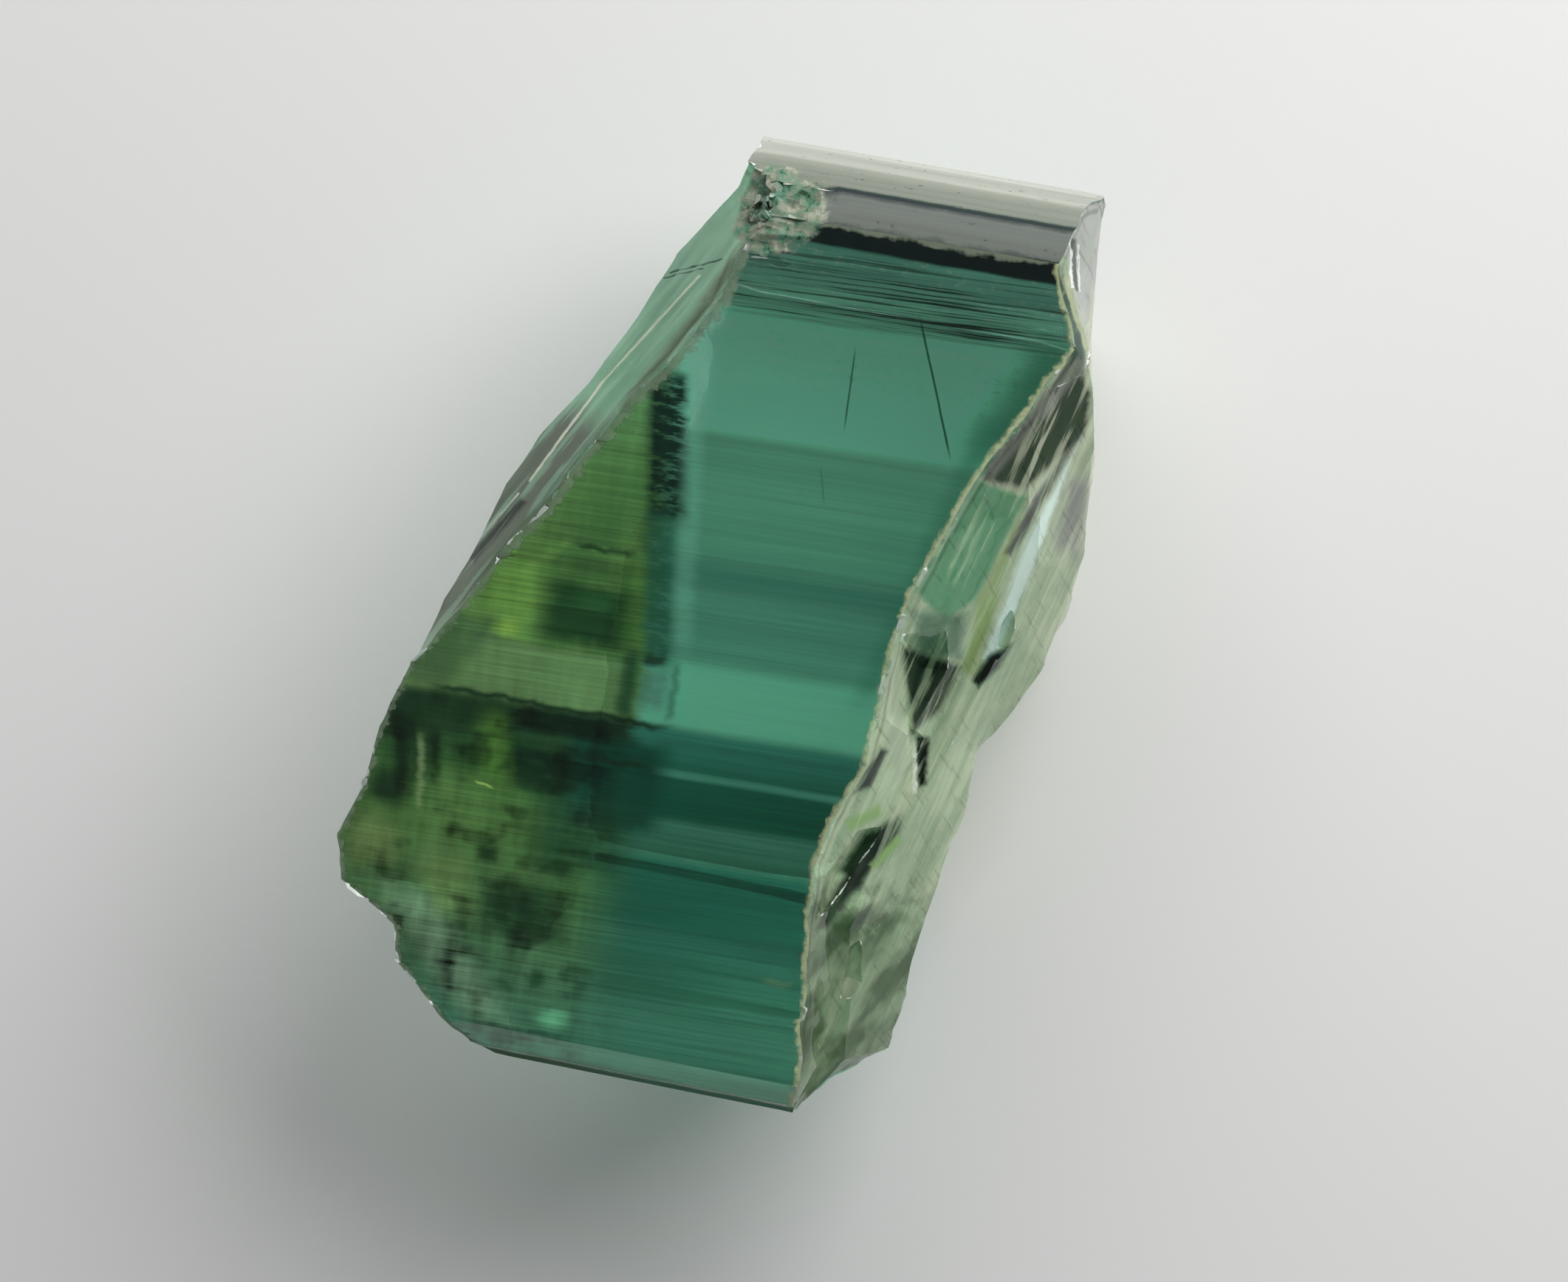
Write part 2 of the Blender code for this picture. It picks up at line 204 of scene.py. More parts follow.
class Recipe:
    """The nodes of one material, and the few patterns that its finish is made from."""

    def __init__(self, name: str) -> None:
        """Starts an empty material of that name."""
        self.material = bpy.data.materials.new(name)
        self.material.use_nodes = True
        self.tree = self.material.node_tree
        self.tree.nodes.clear()
        self.spot: tuple[Value, Value, Value] | None = None

    def node(
        self, kind: str, settings: dict[str, object], sockets: dict[str | int, object]
    ) -> bpy.types.Node:
        """Adds one node, with its settings made before its sockets are filled.

        Args:
            kind: the node's type.
            settings: what is set on the node itself. "stops" fills a colour ramp.
            sockets: a number, a colour, a Value or another node's socket for each input.

        Returns:
            The new node.
        """
        made = self.tree.nodes.new(kind)
        for name, setting in settings.items():
            if name == "stops":
                self.fill_ramp(made.color_ramp, setting)
            else:
                setattr(made, name, setting)
        for key, given in sockets.items():
            given = given.socket if isinstance(given, Value) else given
            if isinstance(given, Socket):
                self.tree.links.new(given, made.inputs[key])
            else:
                made.inputs[key].default_value = given
        return made

    @staticmethod
    def fill_ramp(ramp: bpy.types.ColorRamp, stops: Bands) -> None:
        """Gives a colour ramp its stops.

        Args:
            ramp: the ramp, as new.
            stops: each stop's place from 0 to 1, and its colour, in order.
        """
        for _ in stops[2:]:
            ramp.elements.new(0.5)
        for element, (place, colour) in zip(ramp.elements, stops):
            element.position = place
            element.color = (*colour, 1.0)

    def place(self) -> "tuple[Value, Value, Value]":
        """Where a point is on the crystal, in millimetres, along each axis."""
        if self.spot is None:
            where = self.node("ShaderNodeTexCoord", {}, {}).outputs["Object"]
            scaled = self.node("ShaderNodeVectorMath", {"operation": "SCALE"}, {0: where, "Scale": 1 / MM})
            parts = self.node("ShaderNodeSeparateXYZ", {}, {0: scaled.outputs[0]})
            self.spot = tuple(Value(self, output) for output in parts.outputs)
        return self.spot

    def read(self, name: str) -> Value:
        """Reads one of the crystal's own marks, such as where its front face is."""
        return Value(self, self.node("ShaderNodeAttribute", {"attribute_name": name}, {}).outputs["Fac"])

    def point(self, x: Number, y: Number, z: Number = 0.0) -> Socket:
        """Puts three numbers together as a place that a pattern is read at."""
        return self.node("ShaderNodeCombineXYZ", {}, {0: x, 1: y, 2: z}).outputs[0]

    def pattern(self, kind: Pattern, x: Number, y: Number, z: Number = 0.0) -> Value:
        """Reads a random pattern.

        Args:
            kind: which one.
            x: the place across it.
            y: the place along it.
            z: the place up it.

        Returns:
            Numbers from 0 to 1, mostly near a half.
        """
        grain: Grain = kind.value
        wide, long, deep = grain.lumps
        where = self.point(x * wide, y * long, z * deep + grain.start)
        sockets = {"Vector": where, "Scale": 1.0, "Detail": grain.detail, "Roughness": grain.rough}
        return Value(self, self.node("ShaderNodeTexNoise", {}, sockets).outputs[0])

    def slope(self, where: Socket, weights: Place) -> Value:
        """How far a place is along a direction: the sum of its three numbers, each times a weight."""
        made = self.node("ShaderNodeVectorMath", {"operation": "DOT_PRODUCT"}, {0: where, 1: weights})
        return Value(self, made.outputs["Value"])

    def rise(self, value: Value, low: float, high: float, top: float = 1.0) -> Value:
        """Goes smoothly from 0 at low to top at high; low may be the larger."""
        settings = {"interpolation_type": "SMOOTHSTEP", "clamp": True}
        if low < high:
            sockets = {"Value": value, "From Min": low, "From Max": high, "To Min": 0.0, "To Max": top}
        else:
            sockets = {"Value": value, "From Min": high, "From Max": low, "To Min": top, "To Max": 0.0}
        return Value(self, self.node("ShaderNodeMapRange", settings, sockets).outputs[0])

    def ramp(self, value: Value, stops: Bands) -> Socket:
        """Turns a number from 0 to 1 into a colour."""
        return self.node("ShaderNodeValToRGB", {"stops": stops}, {0: value}).outputs[0]

    def blend(self, amount: Number, under: Tint, over: Tint) -> Socket:
        """Lays one colour over another.

        Args:
            amount: how much of the upper one shows.
            under: the lower colour.
            over: the upper colour.

        Returns:
            The mixed colour.
        """
        under = (*under, 1.0) if isinstance(under, tuple) else under
        over = (*over, 1.0) if isinstance(over, tuple) else over
        made = self.node(
            "ShaderNodeMix", {"data_type": "RGBA", "clamp_factor": True}, {0: amount, 6: under, 7: over}
        )
        return made.outputs[2]

    def shade(self, colour: Socket, amount: Value) -> Socket:
        """Multiplies a colour by a number."""
        made = self.node("ShaderNodeVectorMath", {"operation": "SCALE"}, {0: colour, "Scale": amount})
        return made.outputs[0]

    def paint(self, colour: Tint, sockets: dict[str | int, object]) -> Socket:
        """Adds the shader of one surface, of that colour and with those other inputs."""
        base = (*colour, 1.0) if isinstance(colour, tuple) else colour
        return self.node("ShaderNodeBsdfPrincipled", {}, {"Base Color": base, **sockets}).outputs[0]

    def mix(self, amount: Number, under: Socket, over: Socket) -> Socket:
        """Lays one shader over another."""
        return self.node("ShaderNodeMixShader", {}, {0: amount, 1: under, 2: over}).outputs[0]

    def close(self, surface: Socket, volume: Socket | None = None) -> bpy.types.Material:
        """Joins the finished shader to the material's output and returns the material."""
        out = self.node("ShaderNodeOutputMaterial", {}, {"Surface": surface})
        if volume is not None:
            self.tree.links.new(volume, out.inputs["Volume"])
        return self.material


@dataclass(frozen=True)
class Patch:
    """A soft-edged, four-sided patch of another colour, seen in the front face."""

    name: str
    centre: Corner
    half: Corner
    soft: Corner
    shown: Shown
    amount: float = 1.0
    lean: float = 0.0
    gaps: float = 0.0

    def mask(self, recipe: Recipe, spot: Socket) -> Value:
        """How strongly the patch covers a point.

        Args:
            recipe: the material's recipe.
            spot: the point's place across and along the crystal, and 1.

        Returns:
            Numbers from 0 to the patch's amount.
        """
        across = abs(recipe.slope(spot, (1.0, -self.lean, self.centre[1] * self.lean - self.centre[0])))
        along = abs(recipe.slope(spot, (0.0, 1.0, -self.centre[1])))
        outer = [half + soft for half, soft in zip(self.half, self.soft)]
        inner = [max(half - soft, 0.0) for half, soft in zip(self.half, self.soft)]
        return recipe.rise(across, outer[0], inner[0], self.amount) * recipe.rise(along, outer[1], inner[1])


@dataclass(frozen=True)
class Shard:
    """A flat chip or window of a break, with straight sides, as it looks from in front."""

    name: str
    corners: tuple[Corner, ...]
    shown: Shown
    frosted: float = 0.05
    soft: float = 0.06

    def mask(self, recipe: Recipe, spot: Socket) -> Value:
        """How strongly the shard covers a point.

        Args:
            recipe: the material's recipe.
            spot: the point's place across and along the crystal, and 1.

        Returns:
            Numbers from 0 to 1.
        """
        inside = None
        for near, far in zip(self.corners, self.corners[1:] + self.corners[:1]):
            side = Vector((far[0] - near[0], far[1] - near[1])).normalized()
            depth = recipe.slope(spot, (-side.y, side.x, near[0] * side.y - near[1] * side.x))
            inside = depth if inside is None else inside.least(depth)
        return recipe.rise(inside, -self.soft, self.soft)


def sliver(name: str, start: Corner, end: Corner, wide: float, shown: Shown, frosted: float) -> Shard:
    """Makes a long thin shard, such as a crack or a bright ridge line.

    Args:
        name: what it is.
        start: one end.
        end: the other end.
        wide: how wide it is.
        shown: its colour, as a screen shows it.
        frosted: how much of it scatters light.

    Returns:
        The shard, with its corners anticlockwise.
    """
    along = Vector((end[0] - start[0], end[1] - start[1])).normalized()
    side = Vector((-along.y, along.x)) * (wide / 2)
    corners = (
        (start[0] - side.x, start[1] - side.y),
        (end[0] - side.x, end[1] - side.y),
        (end[0] + side.x, end[1] + side.y),
        (start[0] + side.x, start[1] + side.y),
    )
    return Shard(name, corners, shown, frosted, wide * 0.35)


# Colour zones down the front face, from the head to the foot, as they are to be seen. Besides the crystal's
# own zoning they hold painted light: the brightest teal bands are painted windows of light coming through the
# crystal, the dark stops just under the head are painted shade, and the darkening at the lowest stops is
# painted shade where the foot fades into shadow.
BANDS = as_light(
    (6.24, (44, 82, 68)), (5.87, (44, 82, 68)), (5.40, (52, 90, 75)), (4.95, (62, 105, 86)),
    (4.62, (78, 138, 112)), (3.05, (80, 141, 115)), (2.90, (66, 112, 91)), (2.05, (69, 120, 97)),
    (1.15, (63, 114, 92)), (0.85, (48, 96, 80)), (0.60, (60, 110, 91)), (-0.35, (60, 111, 92)),
    (-0.62, (80, 144, 118)), (-1.42, (79, 142, 116)), (-1.54, (38, 92, 78)), (-2.10, (24, 74, 60)),
    (-2.17, (66, 124, 104)), (-2.25, (14, 66, 52)), (-2.80, (8, 58, 44)), (-2.90, (46, 92, 75)),
    (-3.42, (38, 82, 64)), (-3.52, (22, 74, 58)), (-4.40, (22, 76, 59)), (-4.60, (34, 86, 69)),
    (-5.40, (34, 84, 64)), (-6.00, (48, 98, 78)), (-6.62, (44, 94, 74)), (-6.78, (38, 86, 66)),
    (-6.95, (34, 80, 60)),
)

BEHIND: Bands = (
    (6.00, (0.106, 0.250, 0.165)), (5.60, (0.106, 0.240, 0.157)), (5.20, (0.106, 0.225, 0.154)),
    (4.80, (0.100, 0.204, 0.139)), (4.40, (0.104, 0.207, 0.144)), (3.60, (0.115, 0.228, 0.157)),
    (2.40, (0.125, 0.250, 0.174)), (0.80, (0.141, 0.287, 0.199)), (-3.25, (0.137, 0.280, 0.194)),
    (-3.55, (0.212, 0.420, 0.299)), (-3.90, (0.259, 0.542, 0.376)), (-4.80, (0.270, 0.550, 0.389)),
    (-5.40, (0.287, 0.563, 0.407)), (-6.00, (0.259, 0.518, 0.366)), (-6.50, (0.259, 0.502, 0.360)),
    (-6.80, (0.340, 0.542, 0.435)),
)

LEFT_BEHIND: Bands = (
    (4.00, (0.142, 0.276, 0.197)), (3.00, (0.140, 0.279, 0.197)), (2.00, (0.146, 0.299, 0.211)),
    (1.20, (0.156, 0.330, 0.224)), (0.60, (0.178, 0.357, 0.254)), (0.00, (0.176, 0.350, 0.247)),
    (-0.50, (0.167, 0.329, 0.234)), (-1.60, (0.201, 0.392, 0.279)), (-2.40, (0.206, 0.395, 0.288)),
    (-3.20, (0.236, 0.440, 0.319)), (-4.00, (0.256, 0.467, 0.348)), (-4.80, (0.247, 0.477, 0.346)),
    (-6.40, (0.257, 0.502, 0.358)), (-6.80, (0.358, 0.555, 0.455)),
)

# Colour zones of the yellow-green side, whose hue is the crystal's own. Its darkest stops are painted dark
# internal reflections of the broken end, and its lowest stops are painted shade where the foot fades into
# shadow.
LEFT_BANDS = as_light(
    (4.60, (66, 112, 84)), (3.20, (64, 104, 62)), (2.40, (66, 104, 58)), (1.00, (72, 108, 54)),
    (0.00, (72, 110, 52)), (-0.60, (74, 112, 58)), (-1.44, (74, 106, 62)), (-1.54, (20, 46, 28)),
    (-1.90, (24, 52, 30)), (-2.60, (40, 74, 36)), (-3.40, (58, 92, 46)), (-4.60, (54, 88, 52)),
    (-5.60, (52, 88, 62)), (-6.62, (44, 90, 68)), (-6.78, (38, 84, 62)), (-6.95, (34, 78, 56)),
)

# Patches seen in the front face. Many are painted light rather than the crystal's colour: the lime glints and
# glows and the sparkle are painted highlights, the shaded edges are painted shade, the dark bar is a painted
# view of the left break through the crystal, and the dark blocks and rails in the lower left are painted dark
# internal reflections. The needles are inclusions.
PATCHES = (
    Patch("shaded_edge", (4.20, 4.20), (0.42, 0.90), (0.40, 0.35), (24, 72, 50), 0.80, 0.42),
    Patch("shaded_edge_low", (3.10, 1.60), (0.16, 2.20), (0.16, 0.40), (40, 96, 74), 0.55, 0.27),
    Patch("green_shade", (-1.75, 1.30), (0.60, 0.90), (0.50, 0.40), (48, 86, 46), 0.70, 0.5),
    Patch("lime_haze", (-3.00, -0.30), (0.35, 0.80), (0.25, 0.30), (88, 128, 58), 0.80, 0.2),
    Patch("lime_high", (-2.62, 0.55), (0.08, 0.34), (0.14, 0.24), (90, 128, 60), 0.50, 0.9),
    Patch("quiet_green", (-1.70, 0.58), (0.42, 0.18), (0.16, 0.12), (44, 74, 38), 0.80),
    Patch("lime_glow", (-2.98, -0.52), (0.16, 0.12), (0.14, 0.10), (120, 160, 66), 0.80, 0.3),
    Patch("lime_glow_low", (-2.95, -0.94), (0.26, 0.07), (0.16, 0.07), (112, 152, 72), 0.70),
    Patch("pale_sill", (-2.30, -1.08), (1.20, 0.42), (0.10, 0.06), (80, 112, 70), 0.90),
    Patch("left_dull", (-3.75, -0.95), (0.42, 0.55), (0.20, 0.20), (54, 84, 52), 0.80, 0.7),
    Patch("dark_green_cloud", (-1.80, -0.10), (0.66, 0.50), (0.28, 0.20), (20, 52, 26)),
    Patch("bar_high", (-0.97, 2.58), (0.30, 1.10), (0.11, 0.16), (6, 30, 22), 1.0, -0.153, 0.45),
    Patch("bar_low", (-0.78, 0.45), (0.22, 1.10), (0.14, 0.25), (26, 70, 52), 0.90, -0.13, 0.35),
    Patch("bar_foot", (-1.02, -1.00), (0.12, 0.50), (0.10, 0.12), (24, 58, 40), 0.80),
    Patch("bar_foot_right", (-0.33, -1.00), (0.05, 0.42), (0.06, 0.12), (34, 80, 66), 0.60),
    Patch("bar_edge", (-0.52, 1.90), (0.14, 2.20), (0.12, 0.40), (92, 146, 124), 0.40, -0.10),
    Patch("dark_spot", (-0.70, -0.57), (0.17, 0.09), (0.08, 0.07), (12, 34, 26), 0.85),
    Patch("grey_blotch", (-0.62, -1.02), (0.20, 0.28), (0.12, 0.14), (62, 96, 86), 0.70, 0.0, 0.3),
    Patch("short_streak", (-1.66, 0.89), (0.42, 0.035), (0.14, 0.03), (14, 36, 18), 0.85),
    Patch("dark_left_high", (-3.35, -1.85), (0.60, 0.26), (0.20, 0.14), (20, 46, 24), 0.90, 0.0, 0.3),
    Patch("dark_middle", (-1.00, -2.50), (0.72, 0.66), (0.26, 0.14), (8, 52, 40)),
    Patch("dark_middle_low", (-1.35, -3.40), (0.70, 0.55), (0.35, 0.25), (20, 54, 36), 0.85, 0.0, 0.2),
    Patch("black_rail", (-2.10, -1.56), (1.75, 0.04), (0.25, 0.04), (10, 34, 20), 0.90),
    Patch("black_green_high", (-1.86, -1.80), (0.68, 0.18), (0.16, 0.08), (6, 28, 16), 0.97, 0.0, 0.2),
    Patch("second_rail", (-1.15, -2.19), (0.58, 0.05), (0.18, 0.05), (12, 36, 24), 0.85),
    Patch("dark_patch", (-2.15, -2.55), (0.52, 0.34), (0.18, 0.10), (5, 30, 16), 0.97, 0.0, 0.2),
    Patch("yellow_column", (-2.85, -2.40), (0.20, 0.55), (0.20, 0.25), (60, 96, 38), 0.85, -0.16),
    Patch("sparkle", (-2.93, -2.92), (0.12, 0.018), (0.05, 0.015), (180, 206, 110), 0.9),
    Patch("dark_left_side", (-4.15, -2.45), (0.30, 0.50), (0.20, 0.25), (14, 36, 18), 0.70, -0.15),
    Patch("dark_line_left", (-4.27, -2.60), (0.09, 0.40), (0.08, 0.14), (10, 30, 16), 0.9, -0.15),
    Patch("dark_line_right", (-3.74, -2.65), (0.07, 0.42), (0.06, 0.14), (12, 32, 16), 0.9, -0.16, 0.3),
    Patch("pale_line", (-3.92, -2.90), (0.05, 0.60), (0.05, 0.15), (88, 112, 74), 0.70, -0.15),
    Patch("dark_left", (-4.38, -3.20), (0.30, 0.26), (0.18, 0.16), (10, 30, 16), 0.92),
    Patch("olive_left", (-4.50, -4.05), (0.36, 0.34), (0.20, 0.18), (84, 108, 62), 0.75),
    Patch("green_low", (-3.05, -3.30), (0.60, 0.45), (0.30, 0.25), (68, 104, 54), 0.80),
    Patch("dark_low_left", (-2.72, -3.92), (0.17, 0.13), (0.10, 0.09), (10, 34, 16), 0.85),
    Patch("dark_fleck_low", (-1.68, -3.97), (0.26, 0.10), (0.14, 0.08), (10, 36, 20), 0.80),
    Patch("dark_low", (-2.10, -4.70), (0.62, 0.40), (0.28, 0.24), (10, 38, 22), 0.90, 0.0, 0.2),
    Patch("yellow_low", (-3.25, -4.50), (0.36, 0.45), (0.24, 0.25), (82, 112, 64), 0.75, -0.2),
    Patch("grey_rim", (-3.15, -5.55), (0.40, 0.85), (0.28, 0.30), (88, 118, 92), 0.70, -0.9),
    Patch("dark_fleck", (-1.72, -5.68), (0.10, 0.12), (0.08, 0.08), (24, 56, 34), 0.85),
    Patch("lime_spot", (-1.36, -6.25), (0.20, 0.12), (0.18, 0.10), (84, 150, 112), 0.75),
    Patch("pale_fleck", (1.90, -5.05), (0.20, 0.05), (0.12, 0.04), (70, 104, 74), 0.60),
    Patch("needle_long", (2.80, 4.11), (0.018, 0.90), (0.014, 0.20), (12, 44, 32), 0.90, -0.40),
    Patch("needle_left", (1.555, 3.90), (0.014, 0.56), (0.012, 0.20), (16, 52, 40), 0.85, -0.03),
    Patch("needle_faint", (1.385, 2.42), (0.012, 0.23), (0.012, 0.12), (40, 84, 66), 0.60, -0.25),
)

LINE_STRENGTH = (
    (6.20, 0.05), (5.92, 0.05), (5.86, 1.00), (4.95, 0.95), (4.55, 0.16), (3.00, 0.12), (2.80, 0.26),
    (-0.50, 0.35), (-0.70, 0.10), (-1.40, 0.10), (-1.55, 0.40), (-4.50, 0.50), (-6.80, 0.50),
)

# Bands up the head facets. Their pale greys are partly the facets' own frosting and partly painted sheen, the
# reflection of the bright room and lamps.
HEAD_SHEEN_BANDS = as_light(
    (4.60, (206, 206, 197)), (5.00, (186, 186, 177)), (5.20, (196, 196, 186)), (5.44, (188, 188, 177)),
    (5.56, (158, 160, 149)), (5.97, (142, 147, 135)), (6.02, (36, 60, 56)), (6.10, (22, 38, 38)),
    (6.14, (104, 110, 104)), (6.30, (100, 106, 99)), (6.45, (86, 96, 84)),
)

# Tones of the crushed corner: grey-green crumbs and dark specks, with the palest stop partly painted glints.
CRUMB_TONES = as_light(
    (0.32, (46, 64, 52)), (0.42, (84, 122, 100)), (0.52, (118, 124, 108)), (0.60, (136, 138, 122)),
    (0.78, (184, 188, 174)),
)

# Windows and chips of the right break, as seen from in front. The dark window at the top is a painted dark
# reflection of its facet; the white edge slivers and the two lime marks are painted highlights; the pale grey
# head end is partly painted sheen like the head facets.
SHARDS = (
    Shard(
        "grey_shoulder", ((5.45, 3.30), (4.95, 3.30), (5.02, 2.20), (5.40, 2.10)),
        (150, 148, 146), 0.5, 0.22,
    ),
    # Painted dark reflection: the dark window at the top of the break.
    Shard(
        "smoky_window", ((4.73, 5.02), (3.72, 2.92), (4.39, 2.93), (5.20, 3.92), (5.15, 4.55)),
        (58, 72, 58), 1.00, 0.08,
    ),
    sliver("grey_band", (4.92, 5.02), (3.72, 2.98), 0.22, (118, 122, 112), 0.60),
    Shard(
        "head_end", ((4.30, 7.60), (4.30, 6.60), (4.62, 5.85), (4.86, 5.40), (4.95, 5.80), (5.05, 7.60)),
        (176, 178, 174), 0.80,
    ),
    sliver("slit", (4.47, 6.66), (4.64, 5.94), 0.07, (36, 50, 42), 0.4),
    sliver("slit_edge_left", (4.39, 6.75), (4.57, 5.95), 0.04, (230, 234, 226), 0.8),
    sliver("slit_edge_right", (4.56, 6.62), (4.71, 5.95), 0.03, (226, 230, 222), 0.8),
    Shard(
        "front_spill", ((4.25, 6.25), (4.40, 5.60), (4.72, 4.87), (4.98, 5.04), (4.85, 5.32)),
        (50, 88, 70), 0.4,
    ),
    sliver("spill_rim", (4.40, 6.06), (4.97, 5.04), 0.08, (168, 174, 140), 0.7),
    Shard(
        "teal_window", ((3.65, 2.90), (3.03, 1.12), (3.50, 0.75), (3.92, 1.20), (4.40, 2.80)),
        (150, 202, 162), 0.12,
    ),
    Shard(
        "yellow_strip", ((4.38, 2.60), (3.96, 1.20), (3.92, 0.10), (4.16, 0.00), (4.30, 1.50)),
        (176, 190, 130), 0.35,
    ),
    Shard(
        "smoky_strip", ((5.02, 3.78), (4.54, 2.85), (4.25, 1.95), (4.37, 1.92), (4.68, 2.75)),
        (66, 72, 62), 0.40,
    ),
    Shard(
        "white_strip", ((5.06, 3.64), (4.52, 2.15), (4.20, 0.34), (4.36, 0.30), (4.66, 1.55)),
        (236, 250, 244), 0.55,
    ),
    Shard(
        "dark_wedge", ((4.60, 0.62), (4.30, 0.42), (4.10, 0.00), (4.22, -0.10), (4.47, 0.25)),
        (30, 42, 34), 0.05,
    ),
    Shard(
        "crumbled_sill", ((3.02, 0.84), (3.20, 0.20), (3.86, 0.28), (3.80, 0.92)),
        (124, 150, 128), 0.30, 0.12,
    ),
    Shard(
        "pale_blade", ((2.76, 0.10), (2.84, -0.90), (3.28, -1.90), (3.36, -1.50), (2.98, 0.00)),
        (196, 200, 178), 0.45,
    ),
    Shard(
        "black_notch", ((2.94, 0.30), (3.33, -0.98), (3.69, -0.54), (3.90, 0.16)), (46, 60, 48), 0.55, 0.07
    ),
    Shard(
        "black_sliver", ((3.36, -1.00), (3.56, -1.76), (3.67, -1.70), (3.60, -0.98)),
        (20, 30, 22), 0.3, 0.05,
    ),
    sliver("bright_edge", (3.36, -0.98), (3.52, -1.86), 0.06, (226, 232, 218), 0.7),
    Shard("black_heel", ((2.98, -1.30), (2.86, -1.24), (2.60, -1.98), (2.84, -1.86)), (30, 46, 30), 0.3),
    Shard(
        "scoop_high", ((3.36, -2.24), (2.84, -2.62), (2.56, -3.24), (2.90, -3.42), (3.38, -2.54)),
        (28, 50, 34), 0.30, 0.08,
    ),
    Shard(
        "scoop_low", ((2.74, -3.15), (2.52, -3.55), (2.38, -4.10), (2.52, -4.08), (2.96, -3.35)),
        (30, 48, 32), 0.30, 0.08,
    ),
    # Painted highlights: two lime glints on the break.
    sliver("lime_lip", (2.58, -2.50), (3.02, -2.20), 0.16, (176, 204, 132), 0.35),
    sliver("lime_fleck", (3.05, -3.10), (3.42, -2.56), 0.12, (176, 208, 126), 0.35),
    Shard("small_hollow", ((3.12, -3.70), (2.84, -4.04), (2.90, -4.14), (3.08, -3.95)), (60, 76, 58), 0.15),
)

LEFT_SHARDS = (
    Shard(
        "lilac_foot", ((-4.90, -0.90), (-3.80, -0.80), (-1.85, 2.60), (-2.75, 3.10)),
        (112, 116, 104), 0.50, 0.35,
    ),
    sliver("rim_band_high", (-0.05, 6.20), (-0.70, 4.75), 0.26, (112, 130, 108), 0.60),
    sliver("rim_band_middle", (-0.68, 4.80), (-2.12, 2.30), 0.22, (104, 124, 100), 0.55),
    sliver("rim_band_low", (-2.10, 2.34), (-4.25, -1.05), 0.20, (92, 108, 84), 0.50),
    sliver("ridge_line_high", (-0.91, 5.19), (-2.10, 3.40), 0.035, (196, 204, 180), 0.6),
    sliver("ridge_line_low", (-2.10, 3.40), (-2.98, 1.70), 0.040, (206, 206, 190), 0.7),
    sliver("crack_high", (-1.36, 5.16), (-0.62, 5.46), 0.026, (60, 88, 72), 0.3),
    sliver("crack_low", (-1.46, 5.06), (-0.86, 5.30), 0.020, (66, 94, 78), 0.3),
    sliver("dark_facet", (-3.02, 1.42), (-3.66, 0.40), 0.13, (52, 58, 52), 0.5),
    sliver("dark_facet_edge", (-3.12, 1.50), (-3.80, 0.42), 0.035, (206, 202, 196), 0.7),
)


